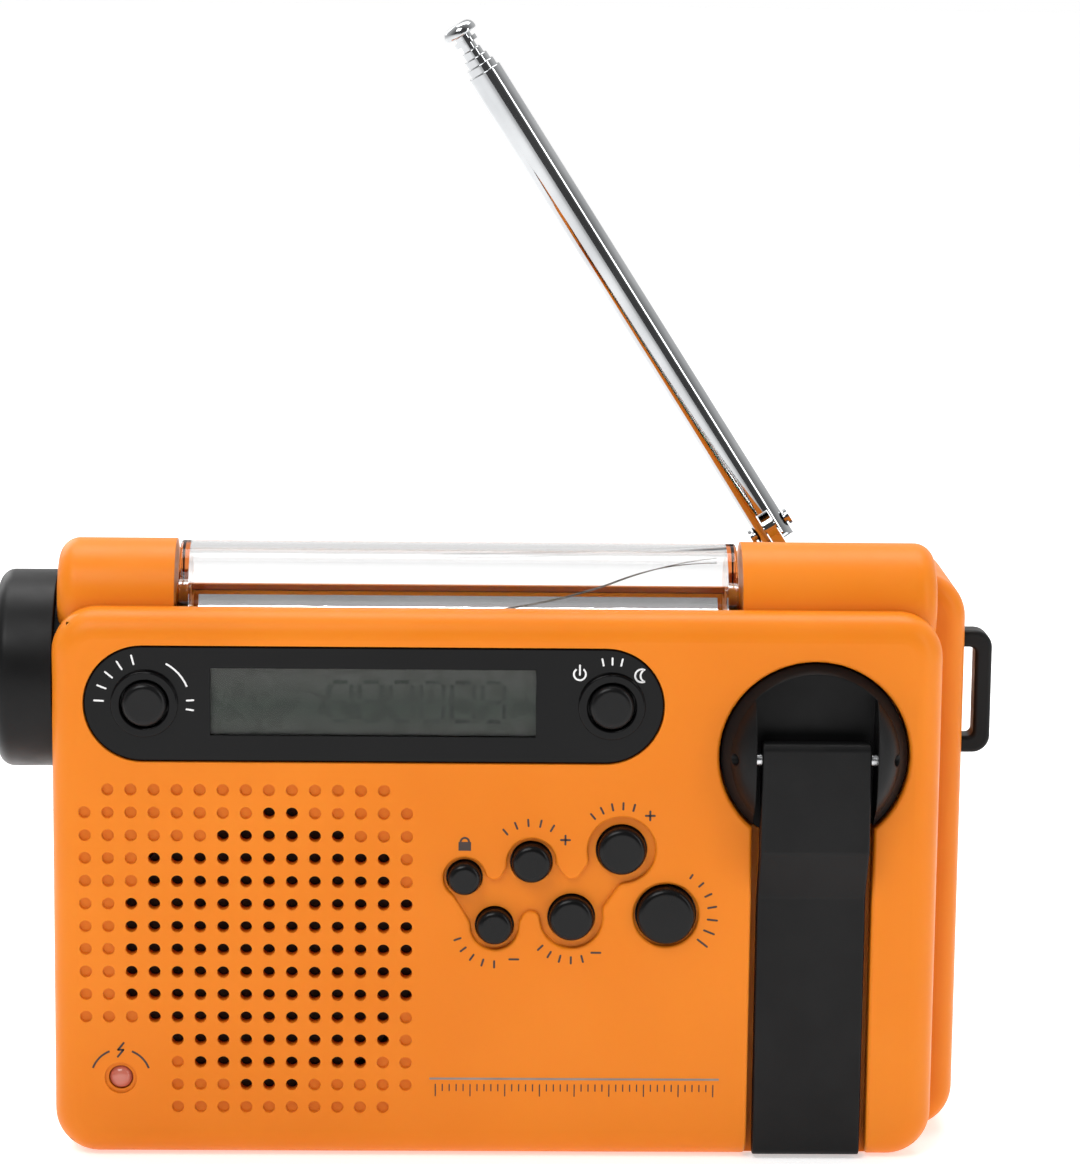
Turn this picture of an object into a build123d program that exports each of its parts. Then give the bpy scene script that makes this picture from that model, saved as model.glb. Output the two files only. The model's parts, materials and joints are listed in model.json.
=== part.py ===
from build123d import *

import os
from math import acos, atan2, cos, degrees, hypot, pi, radians, sin, tan

# Emergency radio with a wind-up generator, torch, reading lamp and telescopic aerial.
#
# Millimetres. X runs left to right as seen from the front, +Y runs to the back, +Z is up.
# The origin is on the base, under the middle of the front plate and halfway through the case.
# A "depth" is a distance behind the face of the front plate.

os.makedirs("parts", exist_ok=True)

# ---------------------------------------------------------------- driving dimensions
PLATE_WIDTH = 148.9
PLATE_HEIGHT = 93.8
PLATE_DEPTH = 6.5
PLATE_EDGE = 4.5
CORNER = 7.5
CASE_DEPTH = 50.0
PARTING = 16.0              # depth of the joint between the two half shells
BLOCK_HALF = 74.0           # half width of the case behind the front plate
BULGE_RIGHT = 80.0          # right side of the wider rear half
REAR_TOP = 98.0
REAR_EDGE = 5.0
BULGE_EDGE = 3.5
WALL = 2.2

HUMP_Z = PLATE_HEIGHT + 0.1  # axis of the round ridge that holds the lamp
HUMP_RADIUS = 9.7
HUMP_EDGE = 3.5
LAMP_LEFT, LAMP_RIGHT = -54.2, 41.0
TROUGH_RADIUS = 10.0
DRUM_RADIUS = 9.4
DRUM_LEFT, DRUM_RIGHT = -53.5, 40.2
DRUM_SEAM = -0.6            # height of the seam between lamp lens and carrier, from the axis
PIVOT_RADIUS = 2.0
TROUGH_WALL = 1.4
SADDLE_Z = 94.2             # top of the case close behind the lamp, whose light also reaches the rear
SADDLE_BACK = PARTING + TROUGH_RADIUS + TROUGH_WALL

FASCIA_X, FASCIA_Z = -20.6, 78.35
FASCIA_LENGTH, FASCIA_HEIGHT = 96.5, 19.5
FASCIA_TOP, FASCIA_BACK = 0.4, 1.5
LCD_X, LCD_Z = -20.75, 78.7
LCD_WIDTH, LCD_HEIGHT = 54.2, 11.4

TORCH_DEPTH, TORCH_Z = 20.0, 80.5
TORCH_RADIUS = 16.8
TORCH_LENGTH = 9.95
TORCH_BORE = 14.6           # radius of the torch barrel where it passes through the side wall
TORCH_COLLAR = 15.2         # radius of the collar that the two shells hold

SPEAKER_X, SPEAKER_Z = -38.1, 36.35
SPEAKER_RADIUS = 25.0
HOLE_PITCH_X, HOLE_PITCH_Z = 3.84, 3.919
HOLE_RADIUS = 1.0
DIMPLE_DEPTH = 0.7

CRANK_X, CRANK_Z = 53.0, 70.1
HUB_RADIUS = 15.6
HUB_RECESS = 16.0
HUB_RECESS_DEPTH = 7.0
HUB_CROWN = 5.5             # how far the hub stands out of the front plate
POCKET_HALF = 10.1
POCKET_ARC = 14.1
POCKET_DEPTH = 2.5
PIN_DEPTH = -2.5
PIN_RADIUS = 1.0
CHANNEL_HALF = 10.2
CHANNEL_DEPTH = 4.4
KNOB_Z = 13.0
KNOB_RADIUS = 6.0
KNOB_WELL_Z = KNOB_Z - 1.3  # the well reaches lower than the knob, which swings out in an arc
KNOB_WELL_RADIUS = 8.4
KNOB_WELL_DEPTH = 14.0
SHAFT_RADIUS = 4.0

MODULE = 0.9
CRANK_TEETH, IDLER_PINION_TEETH, IDLER_TEETH, ROTOR_TEETH = 32, 14, 36, 14
MESH_SLACK = 0.12           # extra distance between gear centres, which gives the backlash
ROTOR_BEARING = 225.0       # direction from the idler axle to the generator shaft, degrees

AERIAL_X, AERIAL_Z, AERIAL_DEPTH = 48.3, 101.8, 44.0
AERIAL_LEAN = 32.8          # degrees left of upright
AERIAL_SWIVEL = 10.0        # from the tilt rivet down to the swivel axis
SWIVEL_X = AERIAL_X + AERIAL_SWIVEL * sin(radians(AERIAL_LEAN))
SWIVEL_Z = AERIAL_Z - AERIAL_SWIVEL * cos(radians(AERIAL_LEAN))
TUBE_DIAMETERS = (6.0, 5.15, 4.3, 3.45, 2.6)
TUBE_WALL = 0.35
TUBE_BOTTOM, TUBE_TOP = 6.0, 94.4
TUBE_STEP = 1.45
REBATE_LEFT, REBATE_RIGHT = -62.5, 66.0
REBATE_DEPTH, REBATE_FLOOR = 40.5, 88.8

CELL_RADIUS, CELL_LENGTH = 9.2, 65.0
CELL_X, CELL_DEPTH, CELL_Z = -14.5, 37.6, 19.0
DOOR_LEFT, DOOR_RIGHT, DOOR_BOTTOM, DOOR_TOP = -53.0, 23.0, 7.0, 31.5
DOOR_THICKNESS = 1.8
DOOR_AXIS_DEPTH = CASE_DEPTH - DOOR_THICKNESS / 2

COVER_FRONT, COVER_BACK, COVER_BOTTOM, COVER_TOP = 27.0, 41.3, 18.0, 46.0
COVER_THICKNESS = 1.1
USB_OPENING = ((31.2, 37.1), (26.0, 39.3))      # depths and heights of the socket openings
MICRO_OPENING = ((30.2, 38.2), (41.4, 44.4))
JACK_DEPTH, JACK_Z, JACK_RADIUS = 34.2, 21.8, 3.0
GAP = 0.35                  # running gap round doors, covers and other loose pieces
RUN = 0.05                  # radial clearance of a shaft or pin that turns

SCREW_POINTS = [(-67.5, 6.5), (-67.5, 57.5), (69.0, 7.5), (70.2, 90.0)]
SCREW_SEAT = 24.0
PLATE_POSTS = [(68.4, 33.0), (30.5, 64.0), (62.0, 24.0)]
GEARBOX_FRONT, GEARBOX_BACK = 21.4, 23.2

# name: (x, z, cap radius, well radius)
DOMED_BUTTONS = {
    "lock_button": (-5.35, 48.9, 2.78, 3.5),
    "volume_up_button": (5.85, 51.6, 3.29, 4.1),
    "volume_down_button": (-0.25, 40.6, 3.0, 4.05),
    "tune_up_button": (20.95, 53.8, 4.02, 5.7),
    "tune_down_button": (12.65, 42.1, 3.73, 5.25),
    "band_button": (28.55, 42.7, 4.87, 5.45),
}
# the first five wells run into each other along this zigzag
TRAY_ROUTE = ("lock_button", "volume_down_button", "volume_up_button", "tune_down_button", "tune_up_button")
TRAY_WIDTH = 6.4
TRAY_BLEND = 1.6            # radius of the hollow corners where two wells meet
FASCIA_BUTTONS = {"torch_button": (-58.75, 78.4), "power_button": (18.95, 78.4)}
FASCIA_CAP_RADIUS = 3.75
FASCIA_RING_RADIUS = 5.6
BUTTON_TRAVEL = 0.6
WELL_DEPTH = 0.9
WELL_ROUND = 0.45           # rounding of the rim of the button wells
RECESS_ROUND = 0.6          # rounding of the rim of the crank recess and channel


# ---------------------------------------------------------------- frames and plain solids
def back(depth):
    """The Y of a depth behind the front plate's face."""
    return depth - CASE_DEPTH / 2


def at_depth(depth):
    """The upright plane at a depth, looking out of the front; a positive extrude comes forward."""
    return Plane.XZ.offset(-back(depth))


def block(xs, depths, zs):
    """A box between two values along each direction."""
    with BuildPart() as solid:
        with BuildSketch(at_depth(depths[1])):
            with Locations(((xs[0] + xs[1]) / 2, (zs[0] + zs[1]) / 2)):
                Rectangle(xs[1] - xs[0], zs[1] - zs[0])
        extrude(amount=depths[1] - depths[0])
    return solid.part


def rod(x, z, radius, depths):
    """A cylinder that runs front to back."""
    with BuildPart() as solid:
        with BuildSketch(at_depth(depths[1])):
            with Locations((x, z)):
                Circle(radius)
        extrude(amount=depths[1] - depths[0])
    return solid.part


def bar(depth, z, radius, xs):
    """A cylinder that runs left to right."""
    with BuildPart() as solid:
        with BuildSketch(Plane.YZ.offset(xs[0])):
            with Locations((back(depth), z)):
                Circle(radius)
        extrude(amount=xs[1] - xs[0])
    return solid.part


def finish(builder, name):
    """Name a finished piece and write it out."""
    builder.part.label = name
    export_step(builder.part, f"parts/{name}.step")


# ---------------------------------------------------------------- gears
def tooth_gap_profile(teeth):
    """Flank points of one tooth, as (radius, half angle) from the root to the tip."""
    pressure = radians(20)
    pitch = MODULE * teeth / 2
    base = pitch * cos(pressure)
    tip = pitch + 0.8 * MODULE
    root = pitch - 1.05 * MODULE
    half_pitch_angle = pi / (2 * teeth)
    involute_at_pitch = tan(pressure) - pressure
    start = max(base, root)
    flank = [] if root >= base else [(root, half_pitch_angle + involute_at_pitch)]
    steps = 4
    for step in range(steps + 1):
        radius = start + (tip - start) * step / steps
        angle = acos(min(1.0, base / radius))
        flank.append((radius, half_pitch_angle + involute_at_pitch - (tan(angle) - angle)))
    return flank


def gear_face(teeth, first_tooth):
    """The points round a gear, with the middle of one tooth at a given angle in degrees."""
    flank = tooth_gap_profile(teeth)
    points = []
    for tooth in range(teeth):
        middle = radians(first_tooth) + 2 * pi * tooth / teeth
        points += [(r * cos(middle - half), r * sin(middle - half)) for r, half in flank]
        points += [(r * cos(middle + half), r * sin(middle + half)) for r, half in reversed(flank)]
    return points


def gear(x, z, teeth, first_tooth, depths):
    """A spur gear that turns about a front-to-back axis."""
    outline = [(x + px, z + pz) for px, pz in gear_face(teeth, first_tooth)]
    with BuildPart() as solid:
        with BuildSketch(at_depth(depths[1])):
            with BuildLine():
                Polyline(*outline, close=True)
            make_face()
        extrude(amount=depths[1] - depths[0])
    return solid.part


IDLER_X = CRANK_X
IDLER_Z = CRANK_Z - MODULE * (CRANK_TEETH + IDLER_PINION_TEETH) / 2 - MESH_SLACK
ROTOR_REACH = MODULE * (IDLER_TEETH + ROTOR_TEETH) / 2 + MESH_SLACK
ROTOR_X = IDLER_X + ROTOR_REACH * cos(radians(ROTOR_BEARING))
ROTOR_Z = IDLER_Z + ROTOR_REACH * sin(radians(ROTOR_BEARING))

# ---------------------------------------------------------------- speaker grille
# first and last column that is drilled through, row by row from the top
DRILLED_COLUMNS = [None, (8, 9), (6, 11), (3, 13), (3, 13), (2, 14), (2, 14), (2, 14),
                   (2, 14), (2, 14), (3, 13), (4, 13), (5, 12), (7, 9), None]


def missing_hole(row, column):
    """The grid has no hole or dimple at three corners, nor round the charge lamp."""
    return (row, column) in ((0, 0), (0, 14), (14, 14)) or (row > 10 and column < 4)


GRILLE_LEFT, GRILLE_TOP = -68.81, 63.78
drilled, dimpled = [], []
for row in range(15):
    for column in range(15):
        point = (GRILLE_LEFT + HOLE_PITCH_X * column, GRILLE_TOP - HOLE_PITCH_Z * row)
        span = DRILLED_COLUMNS[row]
        if span and span[0] <= column <= span[1]:
            drilled.append(point)
        elif not missing_hole(row, column):
            dimpled.append(point)

# ---------------------------------------------------------------- the two half shells
with BuildPart() as outer_form:
    # front plate
    with BuildSketch(at_depth(PLATE_DEPTH)):
        with Locations((0, PLATE_HEIGHT / 2)):
            RectangleRounded(PLATE_WIDTH, PLATE_HEIGHT, CORNER)
    extrude(amount=PLATE_DEPTH)
    fillet(outer_form.faces().sort_by(Axis.Y)[0].edges(), PLATE_EDGE)

with BuildPart() as ridge_form:
    add(bar(PARTING, HUMP_Z, HUMP_RADIUS, (-BLOCK_HALF, BLOCK_HALF)))
    fillet(ridge_form.edges().filter_by(GeomType.CIRCLE), HUMP_EDGE)

with BuildPart() as middle_form:
    with BuildSketch(at_depth(PARTING + 8)):
        with Locations((0, PLATE_HEIGHT / 2)):
            middle_outline = Rectangle(2 * BLOCK_HALF, PLATE_HEIGHT)
        fillet(middle_outline.vertices().group_by(Axis.Z)[0], CORNER)
    extrude(amount=PARTING + 8 - PLATE_DEPTH)

with BuildPart() as rear_form:
    with BuildSketch(at_depth(CASE_DEPTH)):
        with Locations(((BULGE_RIGHT - BLOCK_HALF) / 2, REAR_TOP / 2)):
            RectangleRounded(BULGE_RIGHT + BLOCK_HALF, REAR_TOP, CORNER)
    extrude(amount=CASE_DEPTH - PARTING)
    fillet(rear_form.faces().sort_by(Axis.Y)[-1].edges(), REAR_EDGE)
    fillet(rear_form.faces().sort_by(Axis.Y)[0].edges(), BULGE_EDGE)

with BuildPart() as cavity:
    # the hollow inside the case, less every wall and post that stands in it
    inside_top = PLATE_HEIGHT - WALL
    add(block((WALL - BLOCK_HALF, BLOCK_HALF - WALL), (WALL, PARTING + 4), (WALL, inside_top)))
    with BuildSketch(at_depth(CASE_DEPTH - WALL)):
        with Locations(((BULGE_RIGHT - BLOCK_HALF) / 2, REAR_TOP / 2)):
            RectangleRounded(BULGE_RIGHT + BLOCK_HALF - 2 * WALL, REAR_TOP - 2 * WALL, CORNER - WALL)
    extrude(amount=CASE_DEPTH - 2 * WALL - PARTING - 1.5)
    add(bar(PARTING, HUMP_Z, HUMP_RADIUS - WALL, (WALL - BLOCK_HALF, BLOCK_HALF - WALL)))
    # lamp trough
    add(bar(PARTING, HUMP_Z, TROUGH_RADIUS + TROUGH_WALL, (LAMP_LEFT - WALL, LAMP_RIGHT + WALL)),
        mode=Mode.SUBTRACT)
    # saddle behind the lamp, and the wide part of the aerial's shelf
    add(block((LAMP_LEFT - WALL, LAMP_RIGHT + WALL), (PARTING, CASE_DEPTH), (SADDLE_Z - WALL, REAR_TOP)),
        mode=Mode.SUBTRACT)
    add(block((LAMP_LEFT - WALL, LAMP_RIGHT + WALL), (SADDLE_BACK - WALL, CASE_DEPTH),
              (REBATE_FLOOR - WALL, REAR_TOP)), mode=Mode.SUBTRACT)
    # crank recess, arm channel and knob well
    add(rod(CRANK_X, CRANK_Z, HUB_RECESS + WALL, (0, HUB_RECESS_DEPTH + WALL)), mode=Mode.SUBTRACT)
    add(rod(CRANK_X, CRANK_Z, 8.0, (0, 12.0)), mode=Mode.SUBTRACT)
    add(block((CRANK_X - CHANNEL_HALF - WALL, CRANK_X + CHANNEL_HALF + WALL),
              (0, CHANNEL_DEPTH + WALL), (0, CRANK_Z)), mode=Mode.SUBTRACT)
    add(rod(CRANK_X, KNOB_WELL_Z, KNOB_WELL_RADIUS + 1.8, (0, KNOB_WELL_DEPTH + 1.8)), mode=Mode.SUBTRACT)
    # idler axle boss
    add(rod(IDLER_X, IDLER_Z, 3.4, (0, 12.0)), mode=Mode.SUBTRACT)
    # screw bosses, front half and rear half
    for x, z in SCREW_POINTS:
        add(rod(x, z, 3.6, (0, PARTING)), mode=Mode.SUBTRACT)
        add(rod(x, z, 4.6, (PARTING, CASE_DEPTH)), mode=Mode.SUBTRACT)
    # shelf that the folded aerial lies on
    add(block((REBATE_LEFT - WALL, REBATE_RIGHT + WALL), (REBATE_DEPTH - WALL, CASE_DEPTH),
              (REBATE_FLOOR - WALL, REAR_TOP)), mode=Mode.SUBTRACT)
    # battery box
    add(block((DOOR_LEFT + 1, DOOR_RIGHT - 1), (26.0, CASE_DEPTH), (0, DOOR_TOP)), mode=Mode.SUBTRACT)
    # cradles of the ferrite rod
    for x in (-44.5, 4.5):
        add(block((x - 1.5, x + 1.5), (31.0, CASE_DEPTH), (71.0, 85.0)), mode=Mode.SUBTRACT)
    # recess of the side cover
    add(block((BULGE_RIGHT - COVER_THICKNESS - GAP - WALL, BULGE_RIGHT),
              (COVER_FRONT - WALL, COVER_BACK + WALL), (COVER_BOTTOM - WALL, COVER_TOP + WALL)),
        mode=Mode.SUBTRACT)

with BuildPart() as hollow_case:
    add(outer_form.part)
    add(ridge_form.part)
    add(middle_form.part)
    add(rear_form.part)
    add(cavity.part, mode=Mode.SUBTRACT)
    add(bar(PARTING, HUMP_Z, TROUGH_RADIUS, (LAMP_LEFT, LAMP_RIGHT)), mode=Mode.SUBTRACT)
    add(block((LAMP_LEFT, LAMP_RIGHT), (PARTING, CASE_DEPTH + 1), (SADDLE_Z, REAR_TOP + 1)),
        mode=Mode.SUBTRACT)
    add(block((LAMP_LEFT, LAMP_RIGHT), (SADDLE_BACK, CASE_DEPTH + 1), (REBATE_FLOOR, REAR_TOP + 1)),
        mode=Mode.SUBTRACT)
    for xs in ((LAMP_LEFT - WALL - 1, LAMP_LEFT + 1), (LAMP_RIGHT - 1, LAMP_RIGHT + WALL + 1)):
        add(bar(PARTING, HUMP_Z, PIVOT_RADIUS + RUN, xs), mode=Mode.SUBTRACT)
    # torch opening in the left wall, half in each shell
    add(bar(TORCH_DEPTH, TORCH_Z, TORCH_BORE + 0.1, (-BLOCK_HALF - 2, WALL - BLOCK_HALF + 0.5)),
        mode=Mode.SUBTRACT)
    add(bar(TORCH_DEPTH, TORCH_Z, TORCH_COLLAR + 0.1, (WALL - BLOCK_HALF, WALL - BLOCK_HALF + 3)),
        mode=Mode.SUBTRACT)



def front_face(builder):
    """The flat face of the front plate."""
    return builder.faces().filter_by(Plane.XZ).sort_by(Axis.Y)[0]


with BuildSketch(at_depth(0)) as tray_outline:
    for name in TRAY_ROUTE:
        x, z, cap, well = DOMED_BUTTONS[name]
        with Locations((x, z)):
            Circle(well)
    for first, second in zip(TRAY_ROUTE, TRAY_ROUTE[1:]):
        x1, z1 = DOMED_BUTTONS[first][:2]
        x2, z2 = DOMED_BUTTONS[second][:2]
        with Locations(Location(((x1 + x2) / 2, (z1 + z2) / 2), degrees(atan2(z2 - z1, x2 - x1)))):
            SlotCenterToCenter(hypot(x2 - x1, z2 - z1), TRAY_WIDTH)
    offset(amount=TRAY_BLEND, kind=Kind.ARC)

with BuildSketch(at_depth(0)) as well_outline:
    add(tray_outline.sketch_local)
    offset(amount=-TRAY_BLEND, kind=Kind.ARC, mode=Mode.REPLACE)
    x, z, cap, well = DOMED_BUTTONS["band_button"]
    with Locations((x, z)):
        Circle(well)

with BuildPart() as front_shell:
    add(hollow_case.part)
    split(bisect_by=at_depth(PARTING), keep=Keep.TOP)
    # posts of the gearbox plate
    for x, z in PLATE_POSTS:
        add(rod(x, z, 3.0, (WALL - 1, GEARBOX_FRONT)))
    # seat and window of the display fascia
    with BuildSketch(at_depth(0)):
        with Locations((FASCIA_X, FASCIA_Z)):
            SlotOverall(FASCIA_LENGTH + 0.3, FASCIA_HEIGHT + 0.3)
    extrude(amount=-FASCIA_BACK, mode=Mode.SUBTRACT)
    with BuildSketch(at_depth(0)):
        with Locations((LCD_X, LCD_Z)):
            Rectangle(LCD_WIDTH + 3, LCD_HEIGHT + 1.6)
        with Locations(*FASCIA_BUTTONS.values()):
            Circle(FASCIA_CAP_RADIUS + 1.2)
    extrude(amount=-2 * WALL, mode=Mode.SUBTRACT)
    # button wells: one shallow wavy tray, and a ring of its own for the band button
    extrude(to_extrude=well_outline.sketch, amount=-WELL_DEPTH, mode=Mode.SUBTRACT)
    well_rims = [wire for wire in front_face(front_shell).inner_wires() if wire.length < 150]
    fillet([edge for wire in well_rims for edge in wire.edges()], WELL_ROUND)
    # crank recess, arm channel and knob well
    add(rod(CRANK_X, CRANK_Z, HUB_RECESS, (-1, HUB_RECESS_DEPTH)), mode=Mode.SUBTRACT)
    add(block((CRANK_X - CHANNEL_HALF, CRANK_X + CHANNEL_HALF), (-1, CHANNEL_DEPTH), (-1, CRANK_Z)),
        mode=Mode.SUBTRACT)
    crank_rim = front_face(front_shell).edges().filter_by_position(
        Axis.X, CRANK_X - HUB_RECESS - 1, CRANK_X + HUB_RECESS + 1)
    fillet(crank_rim.filter_by_position(Axis.Z, PLATE_EDGE + 1, PLATE_HEIGHT - PLATE_EDGE - 1), RECESS_ROUND)
    add(rod(CRANK_X, CRANK_Z, 5.5, (0, 13.0)), mode=Mode.SUBTRACT)
    add(rod(CRANK_X, KNOB_WELL_Z, KNOB_WELL_RADIUS, (-1, KNOB_WELL_DEPTH)), mode=Mode.SUBTRACT)
    add(rod(IDLER_X, IDLER_Z, 1.5, (CHANNEL_DEPTH + 1, 13.0)), mode=Mode.SUBTRACT)
    with BuildSketch(at_depth(0)):
        for x, z, cap, well in DOMED_BUTTONS.values():
            with Locations((x, z)):
                Circle(cap + 0.3)
    extrude(amount=-2 * WALL, mode=Mode.SUBTRACT)
    # screw holes
    for x, z in PLATE_POSTS:
        add(rod(x, z, 1.2, (GEARBOX_FRONT - 9, GEARBOX_FRONT)), mode=Mode.SUBTRACT)
    for x, z in SCREW_POINTS:
        add(rod(x, z, 1.45, (6.0, PARTING)), mode=Mode.SUBTRACT)
    # charge lamp
    add(rod(-63.05, 13.9, 2.05, (-1, 2 * WALL)), mode=Mode.SUBTRACT)
    add(rod(-63.05, 13.9, 2.7, (-1, 0.5)), mode=Mode.SUBTRACT)
    # speaker grille
    with BuildSketch(at_depth(0)):
        with Locations(*drilled):
            Circle(HOLE_RADIUS)
    extrude(amount=-WALL - 1, mode=Mode.SUBTRACT)
    with BuildSketch(at_depth(0)):
        with Locations(*dimpled):
            Circle(HOLE_RADIUS)
    extrude(amount=-DIMPLE_DEPTH, mode=Mode.SUBTRACT)
finish(front_shell, "front_shell")

with BuildPart() as rear_shell:
    add(hollow_case.part)
    split(bisect_by=at_depth(PARTING), keep=Keep.BOTTOM)
    # open shelf along the top edge for the folded aerial, with a hole for its swivel
    add(block((REBATE_LEFT, REBATE_RIGHT), (REBATE_DEPTH, CASE_DEPTH + 1), (REBATE_FLOOR, REAR_TOP + 1)),
        mode=Mode.SUBTRACT)
    add(rod(SWIVEL_X, SWIVEL_Z, 2.0 + RUN, (REBATE_DEPTH - WALL - 1, REBATE_DEPTH + 1)),
        mode=Mode.SUBTRACT)
    add(rod(SWIVEL_X, SWIVEL_Z, 3.2, (REBATE_DEPTH - WALL - 4, REBATE_DEPTH - WALL)), mode=Mode.SUBTRACT)
    # battery box and its door
    add(block((CELL_X - CELL_LENGTH / 2 - 1.8, CELL_X + CELL_LENGTH / 2 + 1.8), (28.0, CASE_DEPTH + 1),
              (CELL_Z - 9.5, CELL_Z + 9.5)), mode=Mode.SUBTRACT)
    add(block((DOOR_LEFT, DOOR_RIGHT), (CASE_DEPTH - DOOR_THICKNESS - GAP, CASE_DEPTH + 1),
              (DOOR_BOTTOM, DOOR_TOP)), mode=Mode.SUBTRACT)
    add(bar(DOOR_AXIS_DEPTH, DOOR_BOTTOM + GAP + DOOR_THICKNESS / 2, 0.6 + RUN,
            (DOOR_LEFT - 1.6, DOOR_RIGHT + 1.6)), mode=Mode.SUBTRACT)
    add(rod((DOOR_LEFT + DOOR_RIGHT) / 2, DOOR_TOP, 5.0, (CASE_DEPTH - 1.0, CASE_DEPTH + 1)),
        mode=Mode.SUBTRACT)
    # ferrite rod cradles
    add(bar(36.0, 78.0, 4.1, (-47.0, 7.0)), mode=Mode.SUBTRACT)
    # screw holes and their deep head bores
    for x, z in SCREW_POINTS:
        add(rod(x, z, 1.6, (PARTING - 1, SCREW_SEAT + 1)), mode=Mode.SUBTRACT)
        add(rod(x, z, 3.2, (SCREW_SEAT, CASE_DEPTH + 1)), mode=Mode.SUBTRACT)
    # pockets for the feet of the strap loop
    for z in (67.65, 86.15):
        add(block((BULGE_RIGHT - 1.8, BULGE_RIGHT + 1), (21.5, 26.5), (z - 1.45, z + 1.45)),
            mode=Mode.SUBTRACT)
    # side cover recess and the three socket openings behind it
    add(block((BULGE_RIGHT - COVER_THICKNESS - GAP, BULGE_RIGHT + 1), (COVER_FRONT, COVER_BACK),
              (COVER_BOTTOM, COVER_TOP)), mode=Mode.SUBTRACT)
    for depths, zs in (USB_OPENING, MICRO_OPENING):
        add(block((BULGE_RIGHT - COVER_THICKNESS - 4, BULGE_RIGHT), depths, zs), mode=Mode.SUBTRACT)
    add(bar(JACK_DEPTH, JACK_Z, JACK_RADIUS, (BULGE_RIGHT - COVER_THICKNESS - 4, BULGE_RIGHT)),
        mode=Mode.SUBTRACT)
finish(rear_shell, "rear_shell")


# ---------------------------------------------------------------- display
with BuildPart() as display_fascia:
    with BuildSketch(at_depth(FASCIA_BACK)):
        with Locations((FASCIA_X, FASCIA_Z)):
            SlotOverall(FASCIA_LENGTH, FASCIA_HEIGHT)
    extrude(amount=FASCIA_BACK - FASCIA_TOP)
    with BuildSketch(at_depth(FASCIA_TOP)):
        with Locations(*FASCIA_BUTTONS.values()):
            Circle(FASCIA_RING_RADIUS)
    extrude(amount=FASCIA_TOP + 0.7)
    with BuildSketch(at_depth(-1)):
        with Locations(*FASCIA_BUTTONS.values()):
            Circle(FASCIA_CAP_RADIUS + 0.3)
        with Locations((LCD_X, LCD_Z)):
            Rectangle(LCD_WIDTH, LCD_HEIGHT)
    extrude(amount=-4, mode=Mode.SUBTRACT)
    fascia_rims = display_fascia.edges().filter_by(GeomType.CIRCLE).group_by(Axis.Y)[0]
    fillet(fascia_rims, 0.3)
    fascia_face = display_fascia.faces().filter_by(Plane.XZ).sort_by(SortBy.AREA)[-2:].sort_by(Axis.Y)[0]
    fillet(fascia_face.outer_wire().edges(), 0.3)
finish(display_fascia, "display_fascia")

with BuildPart() as lcd_window:
    add(block((LCD_X - LCD_WIDTH / 2, LCD_X + LCD_WIDTH / 2), (FASCIA_TOP + 0.1, FASCIA_BACK),
              (LCD_Z - LCD_HEIGHT / 2, LCD_Z + LCD_HEIGHT / 2)))
finish(lcd_window, "lcd_window")

DISPLAY_BOARD_DEPTH = 6.0
with BuildPart() as lcd_panel:
    # glass cell in a frame that stands on the display board
    add(block((LCD_X - 28.2, LCD_X + 28.2), (2.4, 4.6), (LCD_Z - 6.3, LCD_Z + 6.3)))
    add(block((LCD_X - 27.6, LCD_X + 27.6), (1.7, 2.4), (LCD_Z - 6.1, LCD_Z + 6.1)))
    add(block((LCD_X - 27.6, LCD_X + 27.6), (4.6, DISPLAY_BOARD_DEPTH), (LCD_Z - 3.0, LCD_Z + 3.0)))
finish(lcd_panel, "lcd_panel")

with BuildPart() as display_board:
    add(block((-66.0, 26.5), (DISPLAY_BOARD_DEPTH, DISPLAY_BOARD_DEPTH + 1.2), (68.0, 86.5)))
    add(block((-56.0, 18.0), (0, 20.0), (83.0, 90.0)), mode=Mode.SUBTRACT)
finish(display_board, "display_board")

MAIN_BOARD_DEPTH = 8.4
with BuildPart() as main_board:
    add(block((-11.5, 33.5), (MAIN_BOARD_DEPTH, MAIN_BOARD_DEPTH + 1.6), (20.0, 60.0)))
    # screening can and two large capacitors
    add(block((-4.0, 12.0), (MAIN_BOARD_DEPTH + 1.6, MAIN_BOARD_DEPTH + 5.6), (44.0, 57.0)))
    for x in (-2.0, 8.0):
        add(rod(x, 28.0, 4.0, (MAIN_BOARD_DEPTH + 1.6, MAIN_BOARD_DEPTH + 10.0)))
finish(main_board, "main_board")

# ---------------------------------------------------------------- buttons and their switches
def button(x, z, radius, proud, stem_end):
    """A cap with a round top edge, a flange that keeps it behind the shell, and a stem."""
    with BuildPart() as key:
        add(rod(x, z, radius, (-proud, WALL + 0.4)))
        fillet(key.faces().sort_by(Axis.Y)[0].edges(), min(1.1, proud * 0.7))
        add(rod(x, z, radius + 1.0, (WALL + 0.4, WALL + 1.2)))
        add(rod(x, z, 1.6, (WALL + 1.2, stem_end)))
    return key


SWITCH_GAP = BUTTON_TRAVEL + GAP
for name, (x, z, cap, well) in DOMED_BUTTONS.items():
    finish(button(x, z, cap, 1.6, MAIN_BOARD_DEPTH - 2.4 - SWITCH_GAP), name)
for name, (x, z) in FASCIA_BUTTONS.items():
    finish(button(x, z, FASCIA_CAP_RADIUS, 1.5, DISPLAY_BOARD_DEPTH - 1.6 - SWITCH_GAP), name)

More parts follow.
